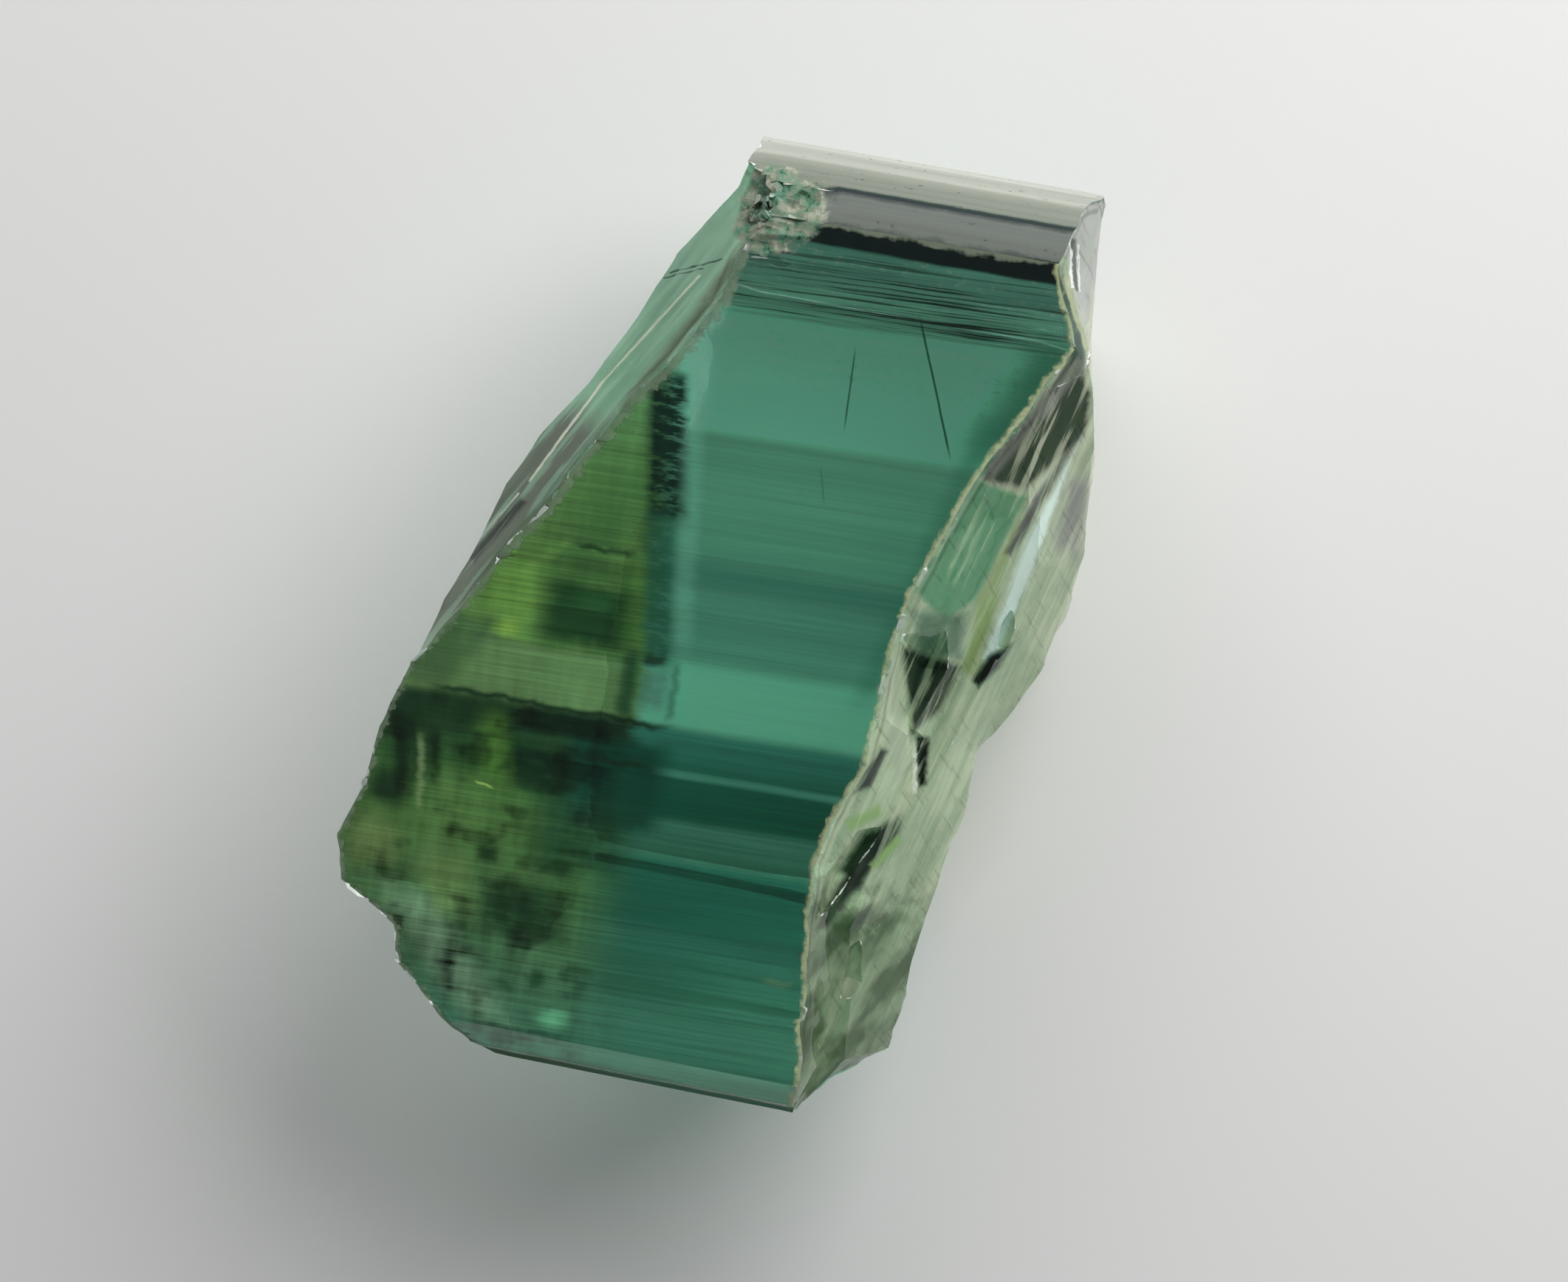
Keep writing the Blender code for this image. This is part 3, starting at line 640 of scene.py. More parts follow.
@dataclass(frozen=True)
class TourmalineFinish:
    """Clear green tourmaline, zoned across its section, with frosted head facets and glassy breaks."""

    ior: float = 1.63
    density: float = 100.0
    body: Colour = (0.62, 0.985, 0.82)
    plain: Colour = (0.20, 0.42, 0.32)
    inner: Colour = (0.92, 0.98, 0.94)
    inner_rough: float = 0.32
    inner_frosted: float = 0.30
    frost_shine: float = 0.0
    depth_of_tint: float = 2.0
    lowest: float = -7.2
    span: float = 14.4
    top: float = 6.5
    slant: float = 0.1584
    head_low: float = 4.5
    head_high: float = 6.5
    head_frosted: float = 0.62
    crumbs_frosted: float = 0.85
    # How strongly the painted shade band along the foot's upper edge covers it.
    sill_shade_amount: float = 0.90
    rim_frosted: float = 0.70
    pale_left: Colour = linear(196, 226, 206)
    pale_right: Colour = linear(228, 232, 200)
    pale_foot: Colour = linear(78, 96, 64)
    bruise_left: Colour = linear(168, 200, 176)
    bruise_right: Colour = linear(204, 208, 180)
    bruise_foot: Colour = linear(74, 88, 64)
    rim_left: Colour = linear(104, 120, 100)
    rim_right: Colour = linear(178, 184, 142)
    # The tones of the painted shade band along the foot's upper edge.
    sill_shade_left: Colour = linear(54, 84, 56)
    sill_shade_right: Colour = linear(52, 96, 74)
    # Painted shade along the top edge of the head facets, next to the front face.
    head_brow_shade: Colour = linear(20, 34, 28)
    speck: Colour = linear(88, 104, 88)
    dust: Colour = linear(40, 82, 64)
    head_shadow: Colour = linear(6, 18, 16)
    front_brow: Colour = linear(98, 110, 92)

    def make(self) -> bpy.types.Material:
        """Builds the material."""
        recipe = Recipe("tourmaline")
        plain = self.glass(recipe, self.plain, 0.14)
        surface = recipe.mix(recipe.read(Mark.BROKEN.value), plain, self.break_surface(recipe))
        surface = recipe.mix(recipe.read(Mark.HEAD.value), surface, self.head_surface(recipe))
        surface = recipe.mix(recipe.read(Mark.FRONT.value), surface, self.front_surface(recipe))
        # A band of painted shade goes along the foot's upper edge, then the crumbs of the battered corner.
        surface = self.crumble(recipe, self.shaded_sill(recipe, surface))
        within = Value(recipe, recipe.node("ShaderNodeNewGeometry", {}, {}).outputs["Backfacing"])
        within = within * recipe.rise(recipe.read(CRUMBLED), 0.5, 0.2)
        inner = self.glass(recipe, self.inner, self.inner_rough)
        inner = recipe.mix(self.inner_frosted, inner, self.frost(recipe, self.inner, 0.5))
        body = recipe.node(
            "ShaderNodeVolumeAbsorption", {}, {"Color": (*self.body, 1.0), "Density": self.density}
        )
        return recipe.close(recipe.mix(within, surface, inner), body.outputs[0])

    def stops(self, bands: Bands) -> Bands:
        """Turns bands along the crystal, from its head down, into a ramp's stops."""
        return tuple(((y - self.lowest) / self.span, colour) for y, colour in reversed(bands))

    def glass(self, recipe: Recipe, colour: Tint, rough: Number) -> Socket:
        """One clear surface of that tint, matt by that much."""
        return recipe.paint(colour, {"Roughness": rough, "IOR": self.ior, "Transmission Weight": 1.0})

    def frost(self, recipe: Recipe, colour: Tint, rough: float) -> Socket:
        """A bruised or frosted surface, which scatters light instead of letting it through."""
        sockets = {"Roughness": rough, "IOR": self.ior, "Specular IOR Level": self.frost_shine}
        return recipe.paint(colour, sockets)

    def through(self, recipe: Recipe, shown: Socket, behind: Tint) -> Socket:
        """Turns the colour to be seen through a clear surface into that surface's own tint.

        Args:
            recipe: the material's recipe.
            shown: the colour to be seen.
            behind: the light that comes from inside the crystal there.

        Returns:
            The tint.
        """
        share = recipe.node("ShaderNodeVectorMath", {"operation": "DIVIDE"}, {0: shown, 1: behind})
        held = recipe.node(
            "ShaderNodeVectorMath", {"operation": "MINIMUM"}, {0: share.outputs[0], 1: (1.0, 1.0, 1.0)}
        )
        return recipe.node("ShaderNodeGamma", {}, {0: held.outputs[0], 1: self.depth_of_tint}).outputs[0]

    @staticmethod
    def on_right(recipe: Recipe) -> Value:
        """1 on the crystal's right half and 0 on its left."""
        return recipe.rise(recipe.place()[0], 0.9, 1.1)

    def shaded_sill(self, recipe: Recipe, surface: Socket) -> Socket:
        """Paints shade on the upper edge of the foot: a dark matt band where the foot fades into shadow.

        Args:
            recipe: the material's recipe.
            surface: the shader of the sound surface.

        Returns:
            The shader.
        """
        x, y, z = recipe.place()
        grain = recipe.pattern(Pattern.SILL, x, y, z)
        # Painted shade: a dark matt band along the foot's upper edge, where it fades into shadow.
        shade_band = recipe.rise(y + (grain - 0.5) * 0.12, -6.84, -7.04) * recipe.rise(z, 5.3, 5.8)
        tone = recipe.blend(recipe.rise(x, -1.4, 0.2), self.sill_shade_left, self.sill_shade_right)
        tone = recipe.shade(tone, 0.7 + 0.6 * grain)
        return recipe.mix(shade_band * self.sill_shade_amount, surface, self.frost(recipe, tone, 0.5))

    def crumble(self, recipe: Recipe, surface: Socket) -> Socket:
        """Lays the crushed look of the battered corner over the rest.

        Args:
            recipe: the material's recipe.
            surface: the shader of the sound surface.

        Returns:
            The shader.
        """
        x, y, z = recipe.place()
        lumps = recipe.pattern(Pattern.CRUMB_LUMPS, x, y, z)
        spread = recipe.pattern(Pattern.CRUMB_SPREAD, x, y, z)
        near = recipe.read(CRUMBLED) * (1.0 + 1.1 * recipe.rise(x, 0.20, -0.25))
        amount = recipe.rise(near + (spread - 0.5) * 0.9 + (lumps - 0.5) * 0.7, 0.28, 0.62)
        tones = recipe.ramp(lumps, CRUMB_TONES)
        crumbs = self.frost(recipe, tones, 0.30)
        crumbs = recipe.mix(self.crumbs_frosted, self.glass(recipe, tones, 0.12), crumbs)
        return recipe.mix(amount, surface, crumbs)

    def head_surface(self, recipe: Recipe) -> Socket:
        """The narrow pale facets at the head, lined along their length and a little frosted; their pale grey
        is partly painted sheen.

        Args:
            recipe: the material's recipe.

        Returns:
            The shader.
        """
        x, y, z = recipe.place()
        lines = recipe.pattern(Pattern.HEAD_LINES, x, y - z)
        broad = recipe.pattern(Pattern.HEAD_BROAD, x, y - z)
        ragged = recipe.pattern(Pattern.HEAD_RAGGED, x, y, z) - 0.5
        specks = recipe.pattern(Pattern.HEAD_SPECKS, x, y, z)
        tall = self.head_high - self.head_low
        height = (z + ragged * 0.05 - self.head_low) * (1 / tall)
        facet = recipe.ramp(height, tuple(((level - self.head_low) / tall, c) for level, c in HEAD_SHEEN_BANDS))
        pale = 0.78 + 0.40 * (lines - 0.5) + 0.5 * (broad - 0.5) - 0.4 * recipe.rise(specks, 0.66, 0.74)
        facet = recipe.shade(facet, pale)
        # Painted shade: a dark band along the top edge of the head facets, next to the front face.
        brow = recipe.rise(z + ragged * 0.16, 6.36, 6.42)
        facet = recipe.blend(brow * 0.9, facet, self.head_brow_shade)
        # The frosted layer carries the pale colour, which is partly painted sheen.
        clear = self.glass(recipe, self.through(recipe, facet, (0.9, 0.9, 0.9)), 0.14)
        return recipe.mix(self.head_frosted, clear, self.frost(recipe, facet, 0.35))

    def break_surface(self, recipe: Recipe) -> Socket:
        """The two broken ends: pale, glassy and bruised, with dark and clear windows.

        Args:
            recipe: the material's recipe.

        Returns:
            The shader.
        """
        x, y, z = recipe.place()
        edge = recipe.read(EDGE)
        right = self.on_right(recipe)
        # Chips and streaks lie as they are seen from in front, so they slide sideways with depth.
        across = x + (self.top - z) * self.slant
        up = y + (self.top - z) * self.slant
        grain = recipe.pattern(Pattern.BREAK_GRAIN, x, y, z)
        streak = recipe.pattern(Pattern.BREAK_STREAK, across - up * (0.58 - right * 0.31), up)
        scratch = recipe.pattern(Pattern.BREAK_SCRATCH, across + up * 0.9, up - across)
        mottle = recipe.pattern(Pattern.BREAK_MOTTLE, across - up * 0.5, up)
        foot = recipe.rise(up + (grain - 0.5) * 1.5, -3.0, -4.2) * right
        foot = foot * (0.66 + 0.34 * recipe.rise(mottle, 0.60, 0.38))
        light = recipe.rise(streak * 0.75 + grain * 0.25, 0.32, 0.68)
        # The pale colour of the right break is partly its own bruised frosting and partly painted sheen.
        colour = recipe.blend(foot, recipe.blend(right, self.pale_left, self.pale_right), self.pale_foot)
        bruise = recipe.blend(right, self.bruise_left, self.bruise_right)
        bruise = recipe.blend(light, recipe.shade(bruise, right * -0.12 + 0.86), bruise)
        bruise = recipe.blend(foot, bruise, self.bruise_foot)
        amount = 0.16 + 0.16 * right + 0.20 * light
        ragged = (recipe.pattern(Pattern.BREAK_RAGGED, x, y, z) - 0.5) * 0.11
        spot = recipe.point(across + ragged, up + ragged, 1.0)
        high = recipe.rise(z + right * 2.6, 5.1, 5.7) * (1.0 - 0.50 * recipe.rise(streak, 0.50, 0.60))
        for side, shards in ((right * high, SHARDS), ((1.0 - right) * high, LEFT_SHARDS)):
            for shard in shards:
                mask = shard.mask(recipe, spot) * side
                colour = recipe.blend(mask, colour, linear(*shard.shown))
                bruise = recipe.blend(mask, bruise, linear(*shard.shown))
                amount = amount + (shard.frosted - amount) * mask
        marks = 1.0 - 0.25 * recipe.rise(scratch, 0.58, 0.68) * right + 0.35 * (streak - 0.5)
        marks = marks - 0.3 * recipe.rise(edge, 0.50, 0.60) * recipe.rise(edge, 0.74, 0.66)
        tint = self.through(recipe, recipe.shade(colour, marks), (1.0, 1.0, 1.0))
        clear = self.glass(recipe, tint, 0.24 - 0.20 * right + 0.10 * grain)
        return recipe.mix(amount, clear, self.frost(recipe, recipe.shade(bruise, marks), 0.35))

    def front_surface(self, recipe: Recipe) -> Socket:
        """The clear front face, chipped and pale along its rims.

        Args:
            recipe: the material's recipe.

        Returns:
            The shader.
        """
        x, y, _ = recipe.place()
        right = self.on_right(recipe)
        grain = recipe.pattern(Pattern.RIM, x, y)
        rim = recipe.shade(recipe.blend(right, self.rim_left, self.rim_right), 0.50 + grain * 0.8)
        bruised = (1.0 - right) * recipe.rise(y, -0.5, 1.0) * 0.16
        rough_edge = recipe.read(EDGE) + bruised + (grain - 0.5) * (0.80 - 0.40 * right)
        near = recipe.rise(rough_edge, 0.74, 0.96)
        clear = self.glass(recipe, self.front_tint(recipe), 0.04)
        return recipe.mix(near * self.rim_frosted, clear, self.frost(recipe, rim, 0.30))

    def front_tint(self, recipe: Recipe) -> Socket:
        """The tint of the front face, from the zones, streaks and patches to be seen in it.

        Args:
            recipe: the material's recipe.

        Returns:
            The tint.
        """
        x, y, _ = recipe.place()
        ragged = recipe.pattern(Pattern.RAGGED, x, y) - 0.5
        sway = recipe.pattern(Pattern.SWAY, x, y) - 0.5
        blocks = recipe.pattern(Pattern.BLOCKS, x, y) - 0.5
        level = y - x * 0.03 + 0.045 + sway * 0.05 + ragged * 0.025
        along = (level - self.lowest) * (1 / self.span)
        border = x + 0.85 + y * 0.06 + blocks * 0.45 + 0.35 * recipe.rise(y, -1.2, -3.0)
        left = recipe.rise(border * (1.0 - 0.75 * recipe.rise(y, -2.4, -3.6)), 0.16, -0.16)
        teal, green = (recipe.ramp(along, self.stops(bands)) for bands in (BANDS, LEFT_BANDS))
        # Over the zones go the patches, many of them painted highlights, painted dark internal reflections
        # and painted shade.
        colour = self.patched(recipe, recipe.blend(left, teal, green), blocks)
        colour = self.dusted(recipe, colour, level)
        colour = recipe.shade(colour, self.streaks(recipe, level, along, left))
        # Painted shade under the head: the dark strip along the top of the front face.
        colour = recipe.blend(recipe.rise(y + ragged * 0.06, 5.87, 5.93), colour, self.head_shadow)
        scallops = recipe.pattern(Pattern.SCALLOPS, x, 0.0) - 0.5
        brow = recipe.rise(y + ragged * 0.20 + scallops * 0.36, 6.13, 6.19)
        colour = recipe.blend(brow * 0.8, colour, self.front_brow)
        teal, green = (recipe.ramp(along, self.stops(bands)) for bands in (BEHIND, LEFT_BEHIND))
        return self.through(recipe, colour, recipe.blend(left, teal, green))

    @staticmethod
    def patched(recipe: Recipe, colour: Socket, blocks: Value) -> Socket:
        """Lays the patches over the zones.

        Args:
            recipe: the material's recipe.
            colour: the colour of the zones.
            blocks: the blocky pattern that the patches' sides follow.

        Returns:
            The colour with the patches.
        """
        x, y, _ = recipe.place()
        ladder = recipe.rise(recipe.pattern(Pattern.LADDER, x + y * 0.15, y), 0.46, 0.64)
        spot = recipe.point(x, y, 1.0)
        shaken = (recipe.pattern(Pattern.SHAKEN, x, y) - 0.5) * 0.26
        around = recipe.point(x + blocks * 0.18, y + shaken, 1.0)
        for patch in PATCHES:
            mask = patch.mask(recipe, spot if patch.half[0] < NEEDLE else around)
            if patch.gaps > 0.0:
                mask = mask * (1.0 - patch.gaps * ladder)
            colour = recipe.blend(mask, colour, linear(*patch.shown))
        return colour

    def dusted(self, recipe: Recipe, colour: Socket, level: Value) -> Socket:
        """Adds the pale specks near the head, and the dark dust below them.

        Args:
            recipe: the material's recipe.
            colour: the colour of the front face.
            level: the place along it, as the bands lie.

        Returns:
            The colour with the specks and the dust.
        """
        x, y, _ = recipe.place()
        specks = recipe.rise(recipe.pattern(Pattern.SPECKS, x, level), 0.54, 0.68)
        colour = recipe.blend(specks * recipe.rise(level, 4.4, 5.0) * 0.30, colour, self.speck)
        dust = recipe.rise(recipe.pattern(Pattern.DUST, x, y), 0.54, 0.66)
        dusty = recipe.rise(level, 2.9, 4.3) * recipe.rise(level, 5.0, 4.4)
        return recipe.blend(dust * dusty * 0.35, colour, self.dust)

    def streaks(self, recipe: Recipe, level: Value, along: Value, left: Value) -> Value:
        """The fine lines across the front face, and the woven, blotched look of the green side.

        Args:
            recipe: the material's recipe.
            level: the place along the crystal, as the bands lie.
            along: the same, from 0 at the foot to 1 at the head.
            left: 1 on the green side and 0 on the teal side.

        Returns:
            How much the colour there is lightened or darkened, near 1.
        """
        x = recipe.place()[0]
        strength = Value(recipe, recipe.ramp(along, self.stops([(y, (s, s, s)) for y, s in LINE_STRENGTH])))
        fine = recipe.pattern(Pattern.FINE, x, level) - 0.5
        broad = recipe.pattern(Pattern.BROAD, x, level) - 0.5
        weave = recipe.pattern(Pattern.WEAVE, x, level) - 0.5
        blots = recipe.pattern(Pattern.BLOTS, x, level)
        low = recipe.rise(level, -1.30, -1.60)
        cuts = recipe.rise(fine, -0.02, -0.12) * recipe.rise(strength, 0.5, 0.9) * 0.60
        lines = strength * (fine * 1.9 + broad * 1.3)
        woven = left * (weave * (0.7 + 0.6 * low) + fine * (1.0 - 0.4 * low))
        blot = recipe.rise(blots, 0.50, 0.66) * left * low * 0.50
        return (1.0 + lines + woven - cuts - blot).most(0.05)


@dataclass(frozen=True)
class TableFinish:
    """Matt, pale, slightly warm table top."""

    colour: Colour = (0.72, 0.715, 0.705)

    def make(self) -> bpy.types.Material:
        """Builds the material."""
        recipe = Recipe("pale_table")
        return recipe.close(recipe.paint(self.colour, {"Roughness": 0.9, "Specular IOR Level": 0.1}))


@dataclass(frozen=True)
class Relief:
    """One layer of fine relief: where it lies, its pattern, and how deep it is cut."""

    name: str
    group: str
    pattern: str
    lump: Place
    depth: float
    low: float = 0.0
    high: float = 1.0
    layers: int = 2


def set_mode(mode: str) -> None:
    """Goes into edit mode or back to object mode."""
    bpy.ops.object.mode_set(mode=mode)


class Mark(Enum):
    """What a face of the crystal is, as its finish reads it."""

    FRONT = "front"
    HEAD = "head"
    BROKEN = "broken"


@dataclass
class Crystal:
    """The crystal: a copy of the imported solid, cut finely and given its striae, grain and chips."""

    node: str = "tourmaline_crystal"
    name: str = "tourmaline_prism"
    row_step: float = 0.08
    column_step: float = 0.30
    layer_step: float = 0.16
    ridge_angle: float = 32.0
    smooth_angle: float = 28.0
    rounding: int = 6
    rim_reach: float = 0.28
    edge_reach: float = 0.45
    crumbled: Place = (0.06, 6.36, 6.30)
    crumbled_reach: float = 0.92
    highest: float = 6.515
    broken_lean: float = 0.03
    front_flat: float = 0.98
    foot_lean: float = 0.10
    head_lean: float = 0.3
    head_above: float = 4.5
    flat_angle: float = 0.4
    reliefs: tuple[Relief, ...] = (
        Relief("striae_broad", "prism", "CLOUDS", (9.0, 0.42, 0.42), 0.010),
        Relief("striae_fine", "prism", "CLOUDS", (5.0, 0.11, 0.11), 0.006, 0.1, 0.9),
        Relief("swell", "broken", "CLOUDS", (0.55, 0.80, 0.60), 0.050),
        Relief("grain", "broken", "CLOUDS", (0.16, 0.20, 0.16), 0.012),
        Relief("edge_chips", "rim", "CLOUDS", (0.60, 0.70, 0.60), 0.035, 0.36, 0.60),
        Relief("crumble", "crumbled", "VORONOI", (0.26, 0.26, 0.26), 0.160, 0.05, 0.75),
        Relief("crumbs", "crumbled", "CLOUDS", (0.12, 0.12, 0.12), 0.050, 0.30, 0.70),
    )

    def build(self, source: bpy.types.Object) -> bpy.types.Object:
        """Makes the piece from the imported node.

        Args:
            source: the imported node, which is left alone.

        Returns:
            The finished piece.
        """
        piece = self.copy_solid(source)
        self.slice_up(piece)
        self.refine_corner(piece)
        self.mark_faces(piece)
        self.round_off(piece)
        self.group_points(piece)
        for relief in self.reliefs:
            self.cut_relief(piece, relief)
        self.trim(piece)
        bpy.ops.object.shade_smooth_by_angle(angle=math.radians(self.smooth_angle))
        return piece

    def copy_solid(self, source: bpy.types.Object) -> bpy.types.Object:
        """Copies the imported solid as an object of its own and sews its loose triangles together."""
        bpy.ops.object.select_all(action="DESELECT")
        source.select_set(True)
        bpy.context.view_layer.objects.active = source
        bpy.ops.object.duplicate()
        piece = bpy.context.view_layer.objects.active
        bpy.ops.object.parent_clear(type="CLEAR_KEEP_TRANSFORM")
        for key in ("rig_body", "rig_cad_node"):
            if key in piece:
                del piece[key]
        piece.name = self.name
        piece.data.name = self.name
        piece.data.materials.clear()
        bpy.ops.mesh.customdata_custom_splitnormals_clear()
        set_mode("EDIT")
        bpy.ops.mesh.select_all(action="SELECT")
        bpy.ops.mesh.remove_doubles(threshold=1e-6)
        bpy.ops.mesh.dissolve_limited(angle_limit=math.radians(self.flat_angle))
        set_mode("OBJECT")
        return piece

    def slice_up(self, piece: bpy.types.Object) -> None:
        """Cuts the mesh across by evenly spaced planes along each axis."""
        set_mode("EDIT")
        corners = [vertex.co for vertex in piece.data.vertices]
        for axis, step in enumerate((self.column_step, self.row_step, self.layer_step)):
            low = min(c[axis] for c in corners) / MM
            high = max(c[axis] for c in corners) / MM
            normal = Vector((0.0, 0.0, 0.0))
            normal[axis] = 1.0
            for index in range(1, math.ceil((high - low) / step)):
                bpy.ops.mesh.select_all(action="SELECT")
                bpy.ops.mesh.bisect(
                    plane_co=normal * (low + index * step) * MM, plane_no=normal, threshold=1e-7
                )
        bpy.ops.mesh.select_all(action="SELECT")
        bpy.ops.mesh.normals_make_consistent(inside=False)
        set_mode("OBJECT")

    def refine_corner(self, piece: bpy.types.Object) -> None:
        """Cuts the faces of the battered corner finer, so that its crumbs have a shape."""
        set_mode("EDIT")
        bpy.ops.mesh.select_mode(type="FACE")
        bpy.ops.mesh.select_all(action="DESELECT")
        set_mode("OBJECT")
        centre = Vector(self.crumbled)
        for face in piece.data.polygons:
            face.select = (face.center / MM - centre).length < self.crumbled_reach
        set_mode("EDIT")
        bpy.ops.mesh.subdivide(number_cuts=2)
        set_mode("OBJECT")

    def mark_faces(self, piece: bpy.types.Object) -> None:
        """Marks which faces are the front, the head facets and the breaks, for the finish to read."""
        marks = {mark: [] for mark in Mark}
        for face in piece.data.polygons:
            broken = abs(face.normal.x) > self.broken_lean
            foot = face.center.y < 0.0 and face.normal.z > self.foot_lean
            front = not broken and (face.normal.z > self.front_flat or foot)
            head = not broken and face.normal.y > self.head_lean and face.center.z > self.head_above * MM
            marks[Mark.FRONT].append(float(front))
            marks[Mark.HEAD].append(float(head))
            marks[Mark.BROKEN].append(float(broken))
        for mark, values in marks.items():
            made = piece.data.attributes.new(mark.value, "FLOAT", "FACE")
            made.data.foreach_set("value", values)

    def trim(self, piece: bpy.types.Object) -> None:
        """Flattens whatever the relief has pushed above the front face or below the base."""
        for height, beyond in ((self.highest, 1.0), (0.0, -1.0)):
            high = {v.index for v in piece.data.vertices if (v.co.z / MM - height) * beyond > 0.0}
            self.select_points(piece, high)
            set_mode("EDIT")
            bpy.ops.transform.resize(value=(1.0, 1.0, 0.0), center_override=(0.0, 0.0, height * MM))
            set_mode("OBJECT")

    def points_of(self, piece: bpy.types.Object) -> tuple[set[int], set[int]]:
        """Sorts the mesh's points.

        Args:
            piece: the sliced crystal, with its faces marked.

        Returns:
            The points on the breaks, and those on the prism's own faces. Points of the rim are in both.
        """
        values = [0.0] * len(piece.data.polygons)
        piece.data.attributes[Mark.BROKEN.value].data.foreach_get("value", values)
        broken, grown = set(), set()
        for face, value in zip(piece.data.polygons, values):
            (broken if value > 0.5 else grown).update(face.vertices)
        return broken, grown

    def round_off(self, piece: bpy.types.Object) -> None:
        """Rounds the breaks between their ridges, which stay sharp."""
        broken, grown = self.points_of(piece)
        set_mode("EDIT")
        bpy.ops.mesh.select_mode(type="EDGE")
        bpy.ops.mesh.select_all(action="DESELECT")
        bpy.ops.mesh.edges_select_sharp(sharpness=math.radians(self.ridge_angle))
        set_mode("OBJECT")
        ridges = {vertex.index for vertex in piece.data.vertices if vertex.select}
        self.select_points(piece, broken - grown - ridges)
        set_mode("EDIT")
        bpy.ops.mesh.vertices_smooth(factor=0.5, repeat=self.rounding)
        set_mode("OBJECT")

    @staticmethod
    def select_points(piece: bpy.types.Object, chosen: set[int]) -> None:
        """Selects these points of the mesh and no others."""
        set_mode("EDIT")
        bpy.ops.mesh.select_mode(type="VERT")
        bpy.ops.mesh.select_all(action="DESELECT")
        set_mode("OBJECT")
        for index in chosen:
            piece.data.vertices[index].select = True

    def group_points(self, piece: bpy.types.Object) -> None:
        """Makes the groups of points that the relief lies on, and the marks that fade away from an edge."""
        broken, grown = self.points_of(piece)
        rim = broken & grown
        tree = KDTree(len(rim))
        for index in rim:
            tree.insert(piece.data.vertices[index].co, index)
        tree.balance()
        groups = {
            "prism": dict.fromkeys(grown - rim, 1.0),
            "broken": dict.fromkeys(broken - rim, 1.0),
            "rim": {},
            "crumbled": {},
        }
        edge, crumbled = [], []
        centre = Vector(self.crumbled)
        for vertex in piece.data.vertices:
            away = tree.find(vertex.co)[2] / MM
            edge.append(max(0.0, 1.0 - away / self.edge_reach))
            if away < self.rim_reach:
                groups["rim"][vertex.index] = (1.0 - away / self.rim_reach) ** 2
            off = (vertex.co / MM - centre).length / self.crumbled_reach
            crumbled.append(max(0.0, 1.0 - off * off))
            if off < 1.0:
                groups["crumbled"][vertex.index] = 1.0 - off * off
        for name, values in ((EDGE, edge), (CRUMBLED, crumbled)):
            made = piece.data.attributes.new(name, "FLOAT", "POINT")
            made.data.foreach_set("value", values)
        for name, weights in groups.items():
            group = piece.vertex_groups.new(name=name)
            for index, weight in weights.items():
                group.add([index], weight, "REPLACE")

    def cut_relief(self, piece: bpy.types.Object, relief: Relief) -> None:
        """Cuts one layer of relief into the surface, always inwards.

        Args:
            piece: the crystal.
            relief: the layer.
        """
        bpy.ops.object.select_all(action="DESELECT")
        bpy.ops.object.empty_add(location=(0.0, 0.0, 0.0))
        guide = bpy.context.view_layer.objects.active
        guide.scale = [c * MM for c in relief.lump]
        pattern = bpy.data.textures.new(relief.name, relief.pattern)
        pattern.noise_scale = 1.0
        pattern.use_color_ramp = True
        for stop, place, level in zip(pattern.color_ramp.elements, (relief.low, relief.high), (0.0, 1.0)):
            stop.position = place
            stop.color = (level, level, level, 1.0)
        if relief.pattern == "CLOUDS":
            pattern.noise_depth = relief.layers
        bpy.context.view_layer.objects.active = piece
        piece.select_set(True)
        guide.select_set(False)
        bpy.ops.object.modifier_add(type="DISPLACE")
        layer = piece.modifiers[-1]
        layer.texture = pattern
        layer.texture_coords = "OBJECT"
        layer.texture_coords_object = guide
        layer.vertex_group = relief.group
        layer.mid_level = 1.0
        layer.strength = relief.depth * MM
        bpy.context.view_layer.update()
        bpy.ops.object.modifier_apply(modifier=layer.name)
        bpy.data.objects.remove(guide)


@dataclass(frozen=True)
class Lamp:
    """One square lamp, aimed at the crystal: where it is, its side and its power in watts."""

    name: str
    where: Place
    size: float
    power: float

    def build(self) -> None:
        """Adds the lamp."""
        place = Vector(self.where) * MM
        bpy.ops.object.light_add(type="AREA", location=place)
        lamp = bpy.context.view_layer.objects.active
        lamp.name = self.name
        lamp.data.shape = "SQUARE"
        lamp.data.size = self.size * MM
        lamp.data.energy = self.power
        lamp.rotation_mode = "QUATERNION"
        lamp.rotation_quaternion = (-place).to_track_quat("-Z", "Y")


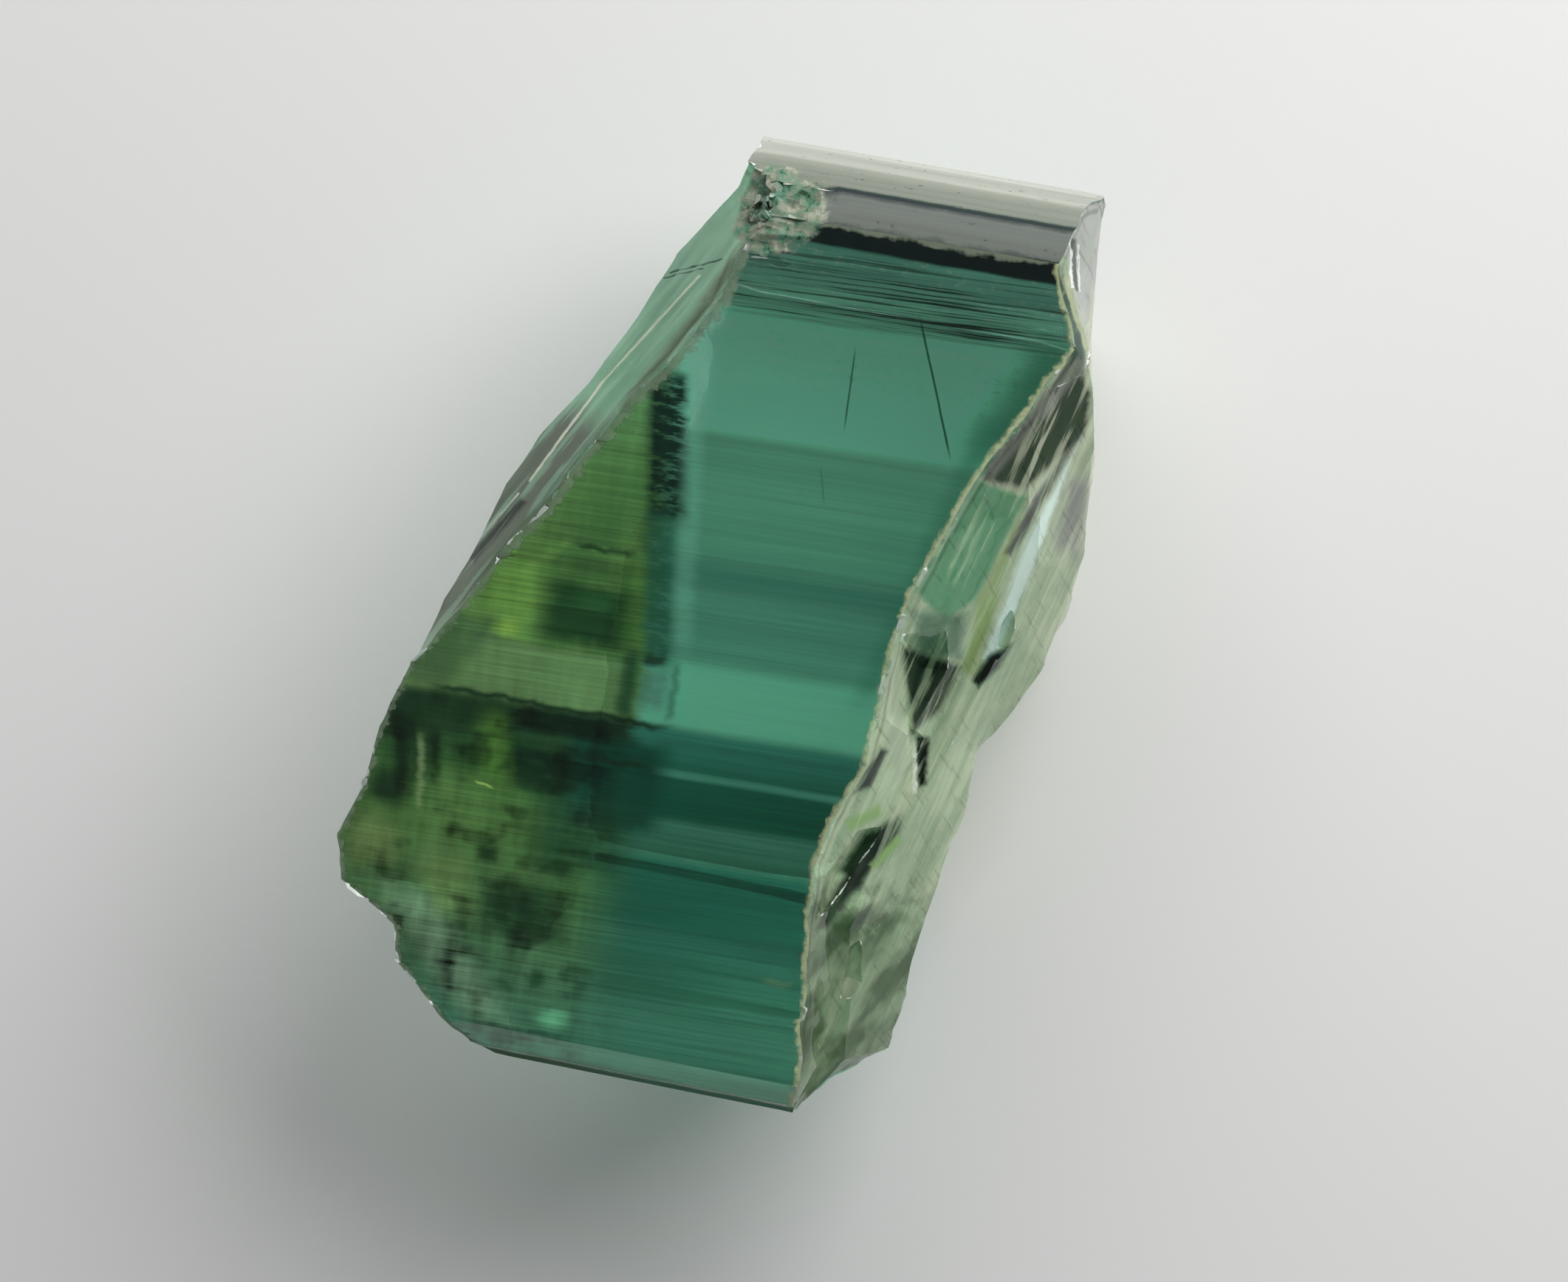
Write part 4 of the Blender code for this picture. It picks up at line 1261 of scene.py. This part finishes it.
@dataclass
class Studio:
    """The table, the soft lights and the camera."""

    table_side: float = 800.0
    table_gap: float = 0.02
    room: Colour = (0.95, 0.97, 1.0)
    wall_top: float = 0.15
    ceiling_from: float = 0.60
    wall_light: float = 0.80
    ceiling_light: float = 0.10
    lamps: tuple[Lamp, ...] = (
        Lamp("key_lamp", (48.0, 70.0, 66.0), 70.0, 0.117),
        Lamp("back_lamp", (-20.0, 110.0, 60.0), 95.0, 0.092),
    )
    view_tilt: float = 9.0
    target: Place = (1.191, 0.050, 6.5)
    distance: float = 90.0
    lens: float = 140.4
    sensor: float = 36.0
    right: Corner = (0.983, 0.182)

    def build(self) -> None:
        """Makes everything that isn't the crystal."""
        self.add_table()
        self.add_room()
        for lamp in self.lamps:
            lamp.build()
        self.add_camera()

    def add_table(self) -> None:
        """Adds the table top, just under the crystal."""
        bpy.ops.object.select_all(action="DESELECT")
        bpy.ops.mesh.primitive_plane_add(size=self.table_side * MM, location=(0.0, 0.0, -self.table_gap * MM))
        table = bpy.context.view_layer.objects.active
        table.name = "table_top"
        bpy.ops.object.transform_apply(location=True, rotation=True, scale=True)
        table.data.materials.append(TableFinish().make())

    def add_room(self) -> None:
        """Adds the light of the room, whose ceiling is dim and whose walls are pale."""
        world = bpy.data.worlds.new("room")
        bpy.context.scene.world = world
        world.use_nodes = True
        tree = world.node_tree
        background = tree.nodes["Background"]
        background.inputs["Color"].default_value = (*self.room, 1.0)
        where = tree.nodes.new("ShaderNodeTexCoord")
        parts = tree.nodes.new("ShaderNodeSeparateXYZ")
        fade = tree.nodes.new("ShaderNodeMapRange")
        fade.interpolation_type = "SMOOTHSTEP"
        tree.links.new(where.outputs["Generated"], parts.inputs[0])
        tree.links.new(parts.outputs["Z"], fade.inputs["Value"])
        fade.inputs["From Min"].default_value = self.wall_top
        fade.inputs["From Max"].default_value = self.ceiling_from
        fade.inputs["To Min"].default_value = self.wall_light
        fade.inputs["To Max"].default_value = self.ceiling_light
        tree.links.new(fade.outputs[0], background.inputs["Strength"])

    def add_camera(self) -> None:
        """Adds the camera, tilted a little off straight down."""
        slope = math.tan(math.radians(self.view_tilt))
        towards = Vector((slope, slope, 1.0)).normalized()
        right = Vector((*self.right, 0.0))
        right = (right - towards * right.dot(towards)).normalized()
        up = towards.cross(right)
        made = Matrix((right, up, towards)).transposed().to_4x4()
        made.translation = (Vector(self.target) + towards * self.distance) * MM
        bpy.ops.object.camera_add()
        camera = bpy.context.view_layer.objects.active
        camera.name = "camera"
        camera.data.lens = self.lens
        camera.data.sensor_width = self.sensor
        camera.data.clip_start = 0.001
        camera.matrix_world = made
        bpy.context.scene.camera = camera


def main() -> None:
    """Builds the crystal and the studio, in that order."""
    logging.basicConfig(level=logging.INFO, format="%(name)s: %(message)s")
    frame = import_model()
    crystal = Crystal()
    piece = crystal.build(frame["nodes"][crystal.node])
    piece.data.materials.append(TourmalineFinish().make())
    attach(piece, "root")
    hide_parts(crystal.node)
    LOG.info("%s has %d faces", piece.name, len(piece.data.polygons))
    Studio().build()
    bpy.context.scene.view_settings.view_transform = "Standard"


if __name__ == "__main__":
    main()
